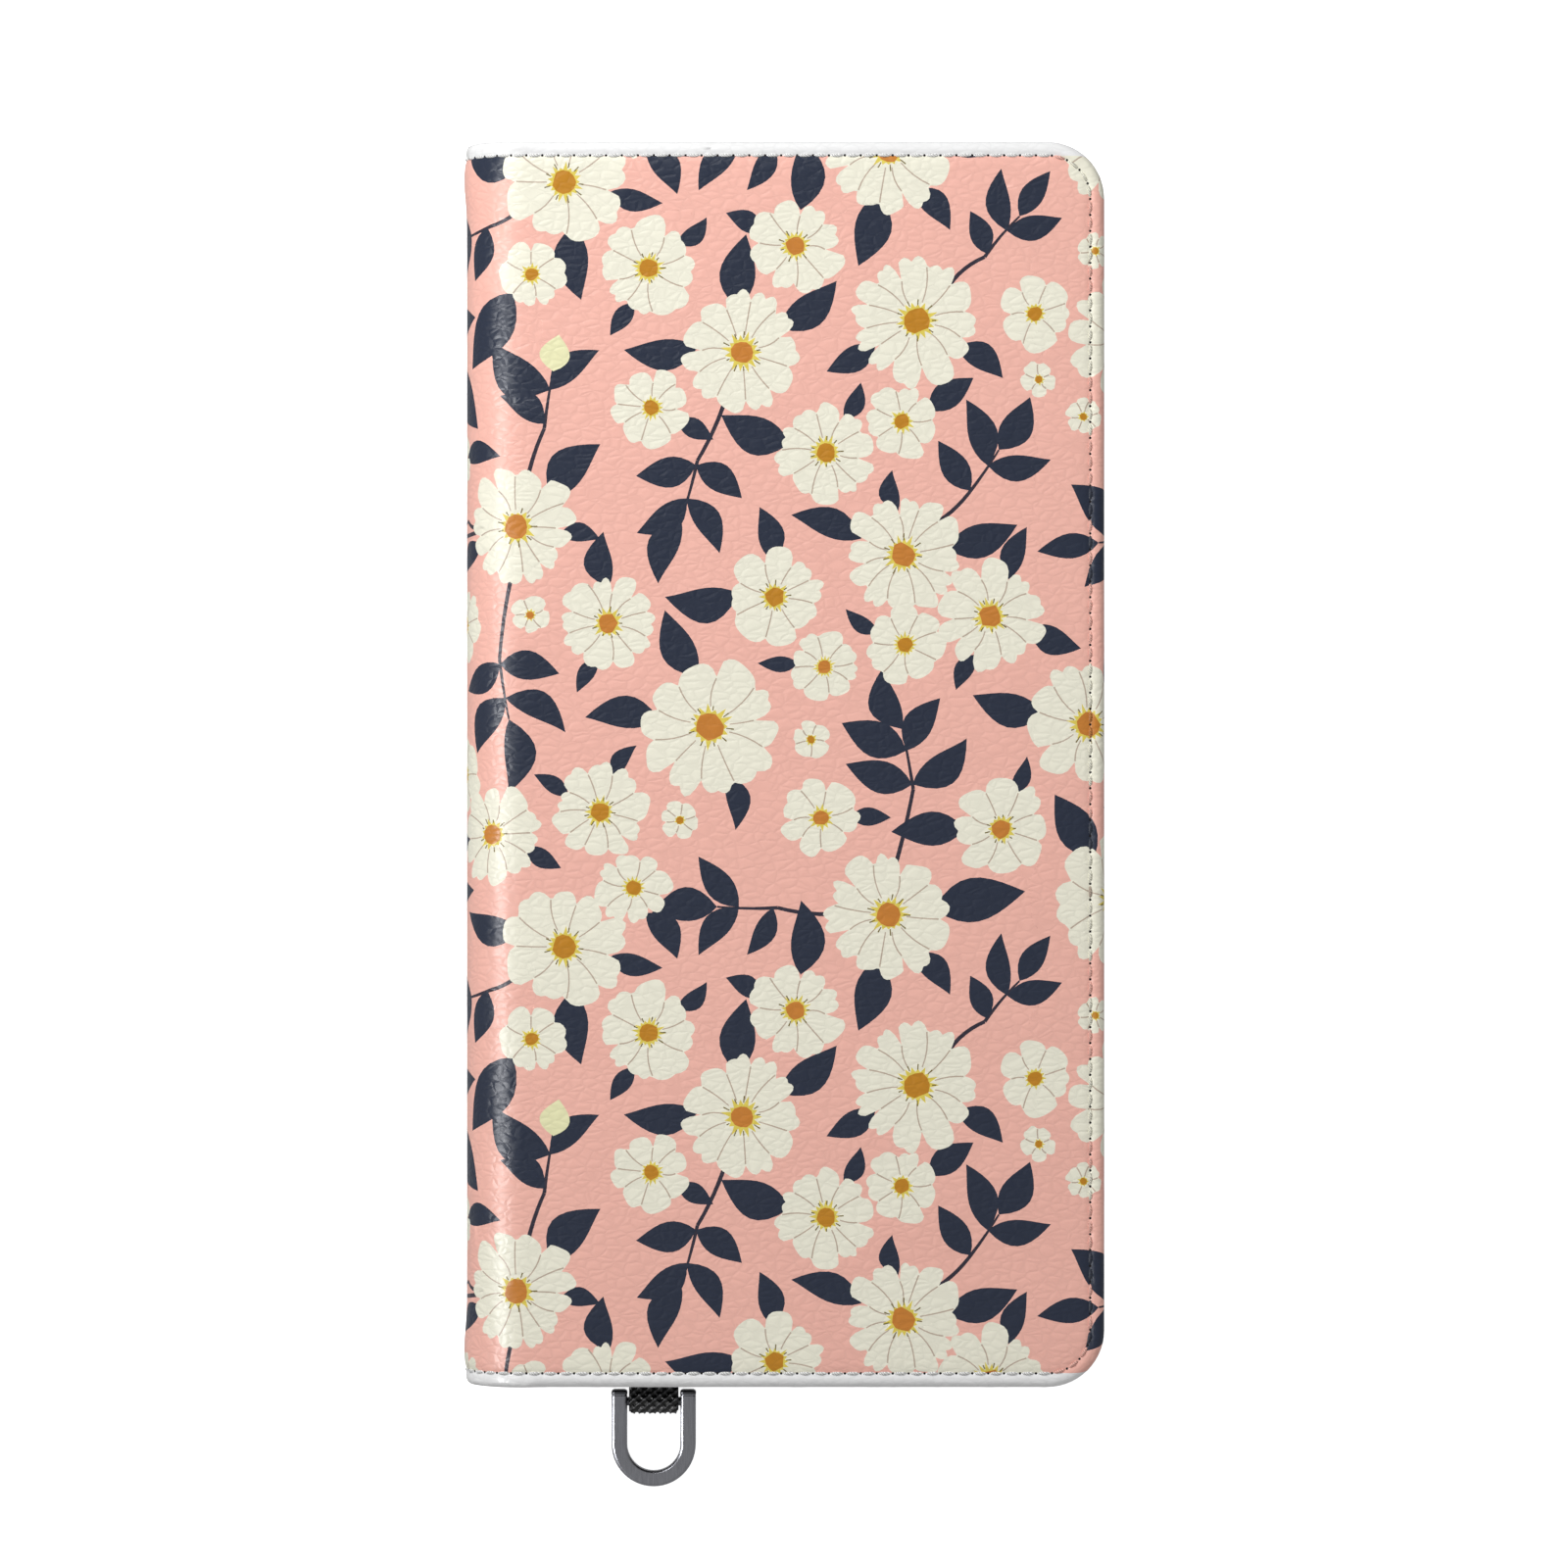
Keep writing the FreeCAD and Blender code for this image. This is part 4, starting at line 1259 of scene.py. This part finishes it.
def ring_path():
    """Stations along the ring from one arm's top to the other's: (place, way outwards, size, is cap)."""

    def arm(side, stations):
        x, way = ring_middle + side * RING_BEND, Vector((side, 0))
        return [(Vector((x, ring_high.y - down)), way, size, cap) for down, size, cap in stations]

    bend_y = ring_low.y + RING_BEND + BAR_WIDTH / 2
    bend = []
    for index in range(BEND_STEPS + 1):
        outwards = pointing(math.radians(180 + 180 * index / BEND_STEPS))
        bend.append((Vector((ring_middle, bend_y)) + outwards * RING_BEND, outwards, 1.0, False))
    return arm(-1, ARM_STATIONS) + bend + arm(1, ARM_STATIONS[::-1])


def build_ring():
    """The U of chamfered bar with dark knuckles on its arms, which the pin goes through."""
    points = []
    middle_z = (ring_low.z + ring_high.z) / 2
    stations = ring_path()
    sides = len(bar_section())
    for place, outwards, size, _ in stations:
        for out, up in bar_section(size):
            spot = place + outwards * out
            points.append((spot.x, spot.y, middle_z + up))
    faces = band_faces(0, len(stations), sides)
    faces.append(tuple(range(sides)))
    faces.append(tuple(reversed(range(len(points) - sides, len(points)))))
    colours = []
    for here, after in zip(stations, stations[1:]):
        colours += [1 if here[3] and after[3] else 0] * sides
    colours += [1, 1]
    piece = new_piece("ring_bar", points, faces, [ring_metal, ring_cap_metal], colours)
    soften(piece, "soft edges", 0.07, 2, angle=25)
    return piece


ring = build_ring()
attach(ring, "ring")
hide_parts("d_ring")

WEAVE_PITCH = 1.42
WEAVE_SLOPE = 1.15  # of the ribs, along the loop for each step across
WEAVE_RELIEF = 0.34
WEAVE_BASE = 0.9  # how far below the face the gaps between the ribs are, as a share of the relief
LOOP_STEP = 0.13
LOOP_CLEARANCE = 0.12  # between the webbing's selvedges and the ring's arms
LOOP_THICKNESS = 0.4
SELVEDGE = 0.35  # width and drop of the webbing's thinner edges
TAIL_TOP = 2.0  # height of the upper tail inside the cover, and of the lower one
TAIL_BOTTOM = 0.8
TAIL_REACH = 1.2  # how far inside the cover's edge the tails go
TAIL_STEPS = 14


def webbing(name):
    """Black webbing with painted light: lighter on its ribs' tops as a painted highlight and darker between
    them as painted shade; the sheet's places carry their height.
    """
    material, tree, shader = new_material(name)
    place = millimetres(tree, True)
    fibres = noise_value(tree, place, 9.0, 4.0)
    height = add(tree, "ShaderNodeSeparateXYZ", {"Vector": place}).outputs["Z"]
    height = between(tree, height, 0.0, 0.9, -0.9 * WEAVE_RELIEF, 0.3 * WEAVE_RELIEF)
    # Painted light: the colour follows the weave's height, a painted highlight on the ribs and painted shade
    # in the gaps, varied by the fibres.
    painted_light_and_mottle = arithmetic(tree, "MULTIPLY", height, between(tree, fibres, 0.7, 1.1))
    feed(tree, shader, {
        "Base Color": blend_colours(tree, painted_light_and_mottle, ((12, 12, 13), (150, 150, 154)), (0.3, 1.0)),
        "Roughness": between(tree, fibres, 0.25, 0.4),
        "Normal": bump(tree, fibres, 0.03),
    })
    return material


def weave_height(u, v):
    """Diagonal ribs one way, lower ones the other way."""
    rising = max(0.0, math.cos(2 * math.pi * (u + WEAVE_SLOPE * v) / WEAVE_PITCH)) ** 1.5
    falling = max(0.0, math.cos(2 * math.pi * (u - WEAVE_SLOPE * v) / WEAVE_PITCH)) ** 2
    return WEAVE_RELIEF * (rising + 0.5 * falling - WEAVE_BASE)


def loop_line():
    """The loop from the side, in under the leather, round the pin and back: (y, z, outward y, outward z)."""
    centre = ((pin_low.y + pin_high.y) / 2, (pin_low.z + pin_high.z) / 2)
    radius = centre[0] - loop_low.y
    inside = -TOP_EDGE + TAIL_REACH
    top_turn = math.asin(min(1.0, (TAIL_TOP - centre[1]) / radius + 0.25))
    sweep = 2 * math.pi - 2 * top_turn - 0.12
    count = round(radius * sweep / LOOP_STEP)
    turns = [top_turn + sweep * index / count for index in range(count + 1)]
    round_pin = [(*polar(centre, turn, radius), math.cos(turn), math.sin(turn)) for turn in turns]
    start, end = round_pin[0], round_pin[-1]
    top, bottom = [], []
    for index in range(TAIL_STEPS):
        t = index / TAIL_STEPS
        top.append((inside + (start[0] - inside) * t, TAIL_TOP + (start[1] - TAIL_TOP) * t, 0.2, 1.0))
        t = (index + 1) / TAIL_STEPS
        bottom.append((end[0] + (inside - end[0]) * t, end[1] + (TAIL_BOTTOM - end[1]) * t, 0.2, -1.0))
    return top + round_pin + bottom


def build_loop():
    """The webbing round the ring's pin, with its weave in relief."""
    points, places = [], []
    line = loop_line()
    loop_width = loop_high.x - loop_low.x - 2 * LOOP_CLEARANCE
    columns = round(loop_width / LOOP_STEP)
    run = 0.0
    for row, (y, z, out_y, out_z) in enumerate(line):
        if row:
            run += math.hypot(y - line[row - 1][0], z - line[row - 1][1])
        for column in range(columns + 1):
            u = loop_width * column / columns
            fall = SELVEDGE * (1 - share_of(min(u, loop_width - u), 0.0, SELVEDGE))
            weave = weave_height(u, run)
            height = weave - fall
            points.append((loop_low.x + LOOP_CLEARANCE + u, y + out_y * height, z + out_z * height))
            places.append((u, run, weave))
    faces = band_faces(0, len(line), columns + 1, closed=False)
    piece = new_piece("ring_loop_webbing", points, faces, [webbing("loop_webbing")], None, places)
    thicken(piece, LOOP_THICKNESS)
    return piece


loop = build_loop()
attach(loop, "back")
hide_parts("d_ring_loop")

# ---------------- carried-over CAD pieces

node_materials = {
    "phone_tray": plastic("tray_plastic", (38, 39, 42)),
    "volume_button": plastic("button_plastic", (46, 47, 51), 0.3, 0.4),
    "power_button": plastic("power_plastic", (46, 47, 51), 0.3, 0.4),
    "strike_plates": metal("steel", (186, 187, 190)),
    "closure_magnets": metal("nickel", (176, 174, 170)),
    "d_ring_pin": metal("pin_metal", (96, 97, 101)),
    "tray_adhesive_sheet": fibrous("adhesive", (214, 206, 186), 0.8),
    "front_foam_pad": fibrous("foam", (226, 226, 222), 2.6, 0.12),
}
board_material = fibrous("grey_board", (158, 150, 138))
for node in ("back_stiffener_board", "spine_stiffener", "front_stiffener_board"):
    node_materials[node] = board_material
for node, material in node_materials.items():
    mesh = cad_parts[node].data
    mesh.materials.clear()
    mesh.materials.append(material)

# ---------------- floor, light and camera

HALF_FLOOR = 20.0  # in metres
FLOOR_DROP = 0.0002
floor_material, floor_tree, floor_shader = new_material("pale_floor")
feed(floor_tree, floor_shader, {
    "Base Color": (0.9, 0.9, 0.9, 1),
    "Roughness": 0.9,
    "Emission Color": (1, 1, 1, 1),
    "Emission Strength": 0.85,
})
floor_mesh = bpy.data.meshes.new("floor")
floor_corners = [(x * HALF_FLOOR, y * HALF_FLOOR, 0) for x, y in ((-1, -1), (1, -1), (1, 1), (-1, 1))]
floor_mesh.from_pydata(floor_corners, [], [(0, 1, 2, 3)])
floor_mesh.materials.append(floor_material)
floor = new_object("floor", floor_mesh)
floor.location.z = -FLOOR_DROP
floor.visible_diffuse = False
floor.visible_glossy = False

WORLD_STRENGTH = 0.41
world = bpy.data.worlds.new("studio")
world.use_nodes = True
background = world.node_tree.nodes["Background"]
background.inputs["Color"].default_value = (1, 1, 1, 1)
background.inputs["Strength"].default_value = WORLD_STRENGTH
bpy.context.scene.world = world


def soft_light(name, place, size, watts):
    """A rectangular soft box that looks at the case's middle."""
    lamp = bpy.data.lights.new(name, "AREA")
    lamp.shape = "RECTANGLE"
    lamp.size, lamp.size_y = size
    lamp.energy = watts
    light = new_object(name, lamp)
    light.location = place
    light.rotation_euler = (-Vector(place)).to_track_quat("-Z", "Y").to_euler()
    return light


soft_light("key_light", (-0.24, 0.3, 0.36), (0.26, 0.26), 2.0)
spine_light = soft_light("spine_light", (-0.8, -0.16, 0.73), (0.5, 0.28), 8.5)
spine_light.visible_diffuse = False  # it gives the spine's bend its sheen and lights nothing else

CAMERA_HEIGHT = 0.95  # above the front cover, in metres
VIEW_WIDTH = 0.2112  # what the picture takes in at the front cover
VIEW_MIDDLE = (-0.06, -2.64)
camera_data = bpy.data.cameras.new("camera")
camera_data.sensor_width = 36
camera_data.lens = camera_data.sensor_width * CAMERA_HEIGHT / VIEW_WIDTH
camera = new_object("camera", camera_data)
camera.location = (VIEW_MIDDLE[0] * MM, VIEW_MIDDLE[1] * MM, THICKNESS * MM + CAMERA_HEIGHT)
bpy.context.scene.camera = camera
bpy.context.scene.view_settings.view_transform = "Standard"
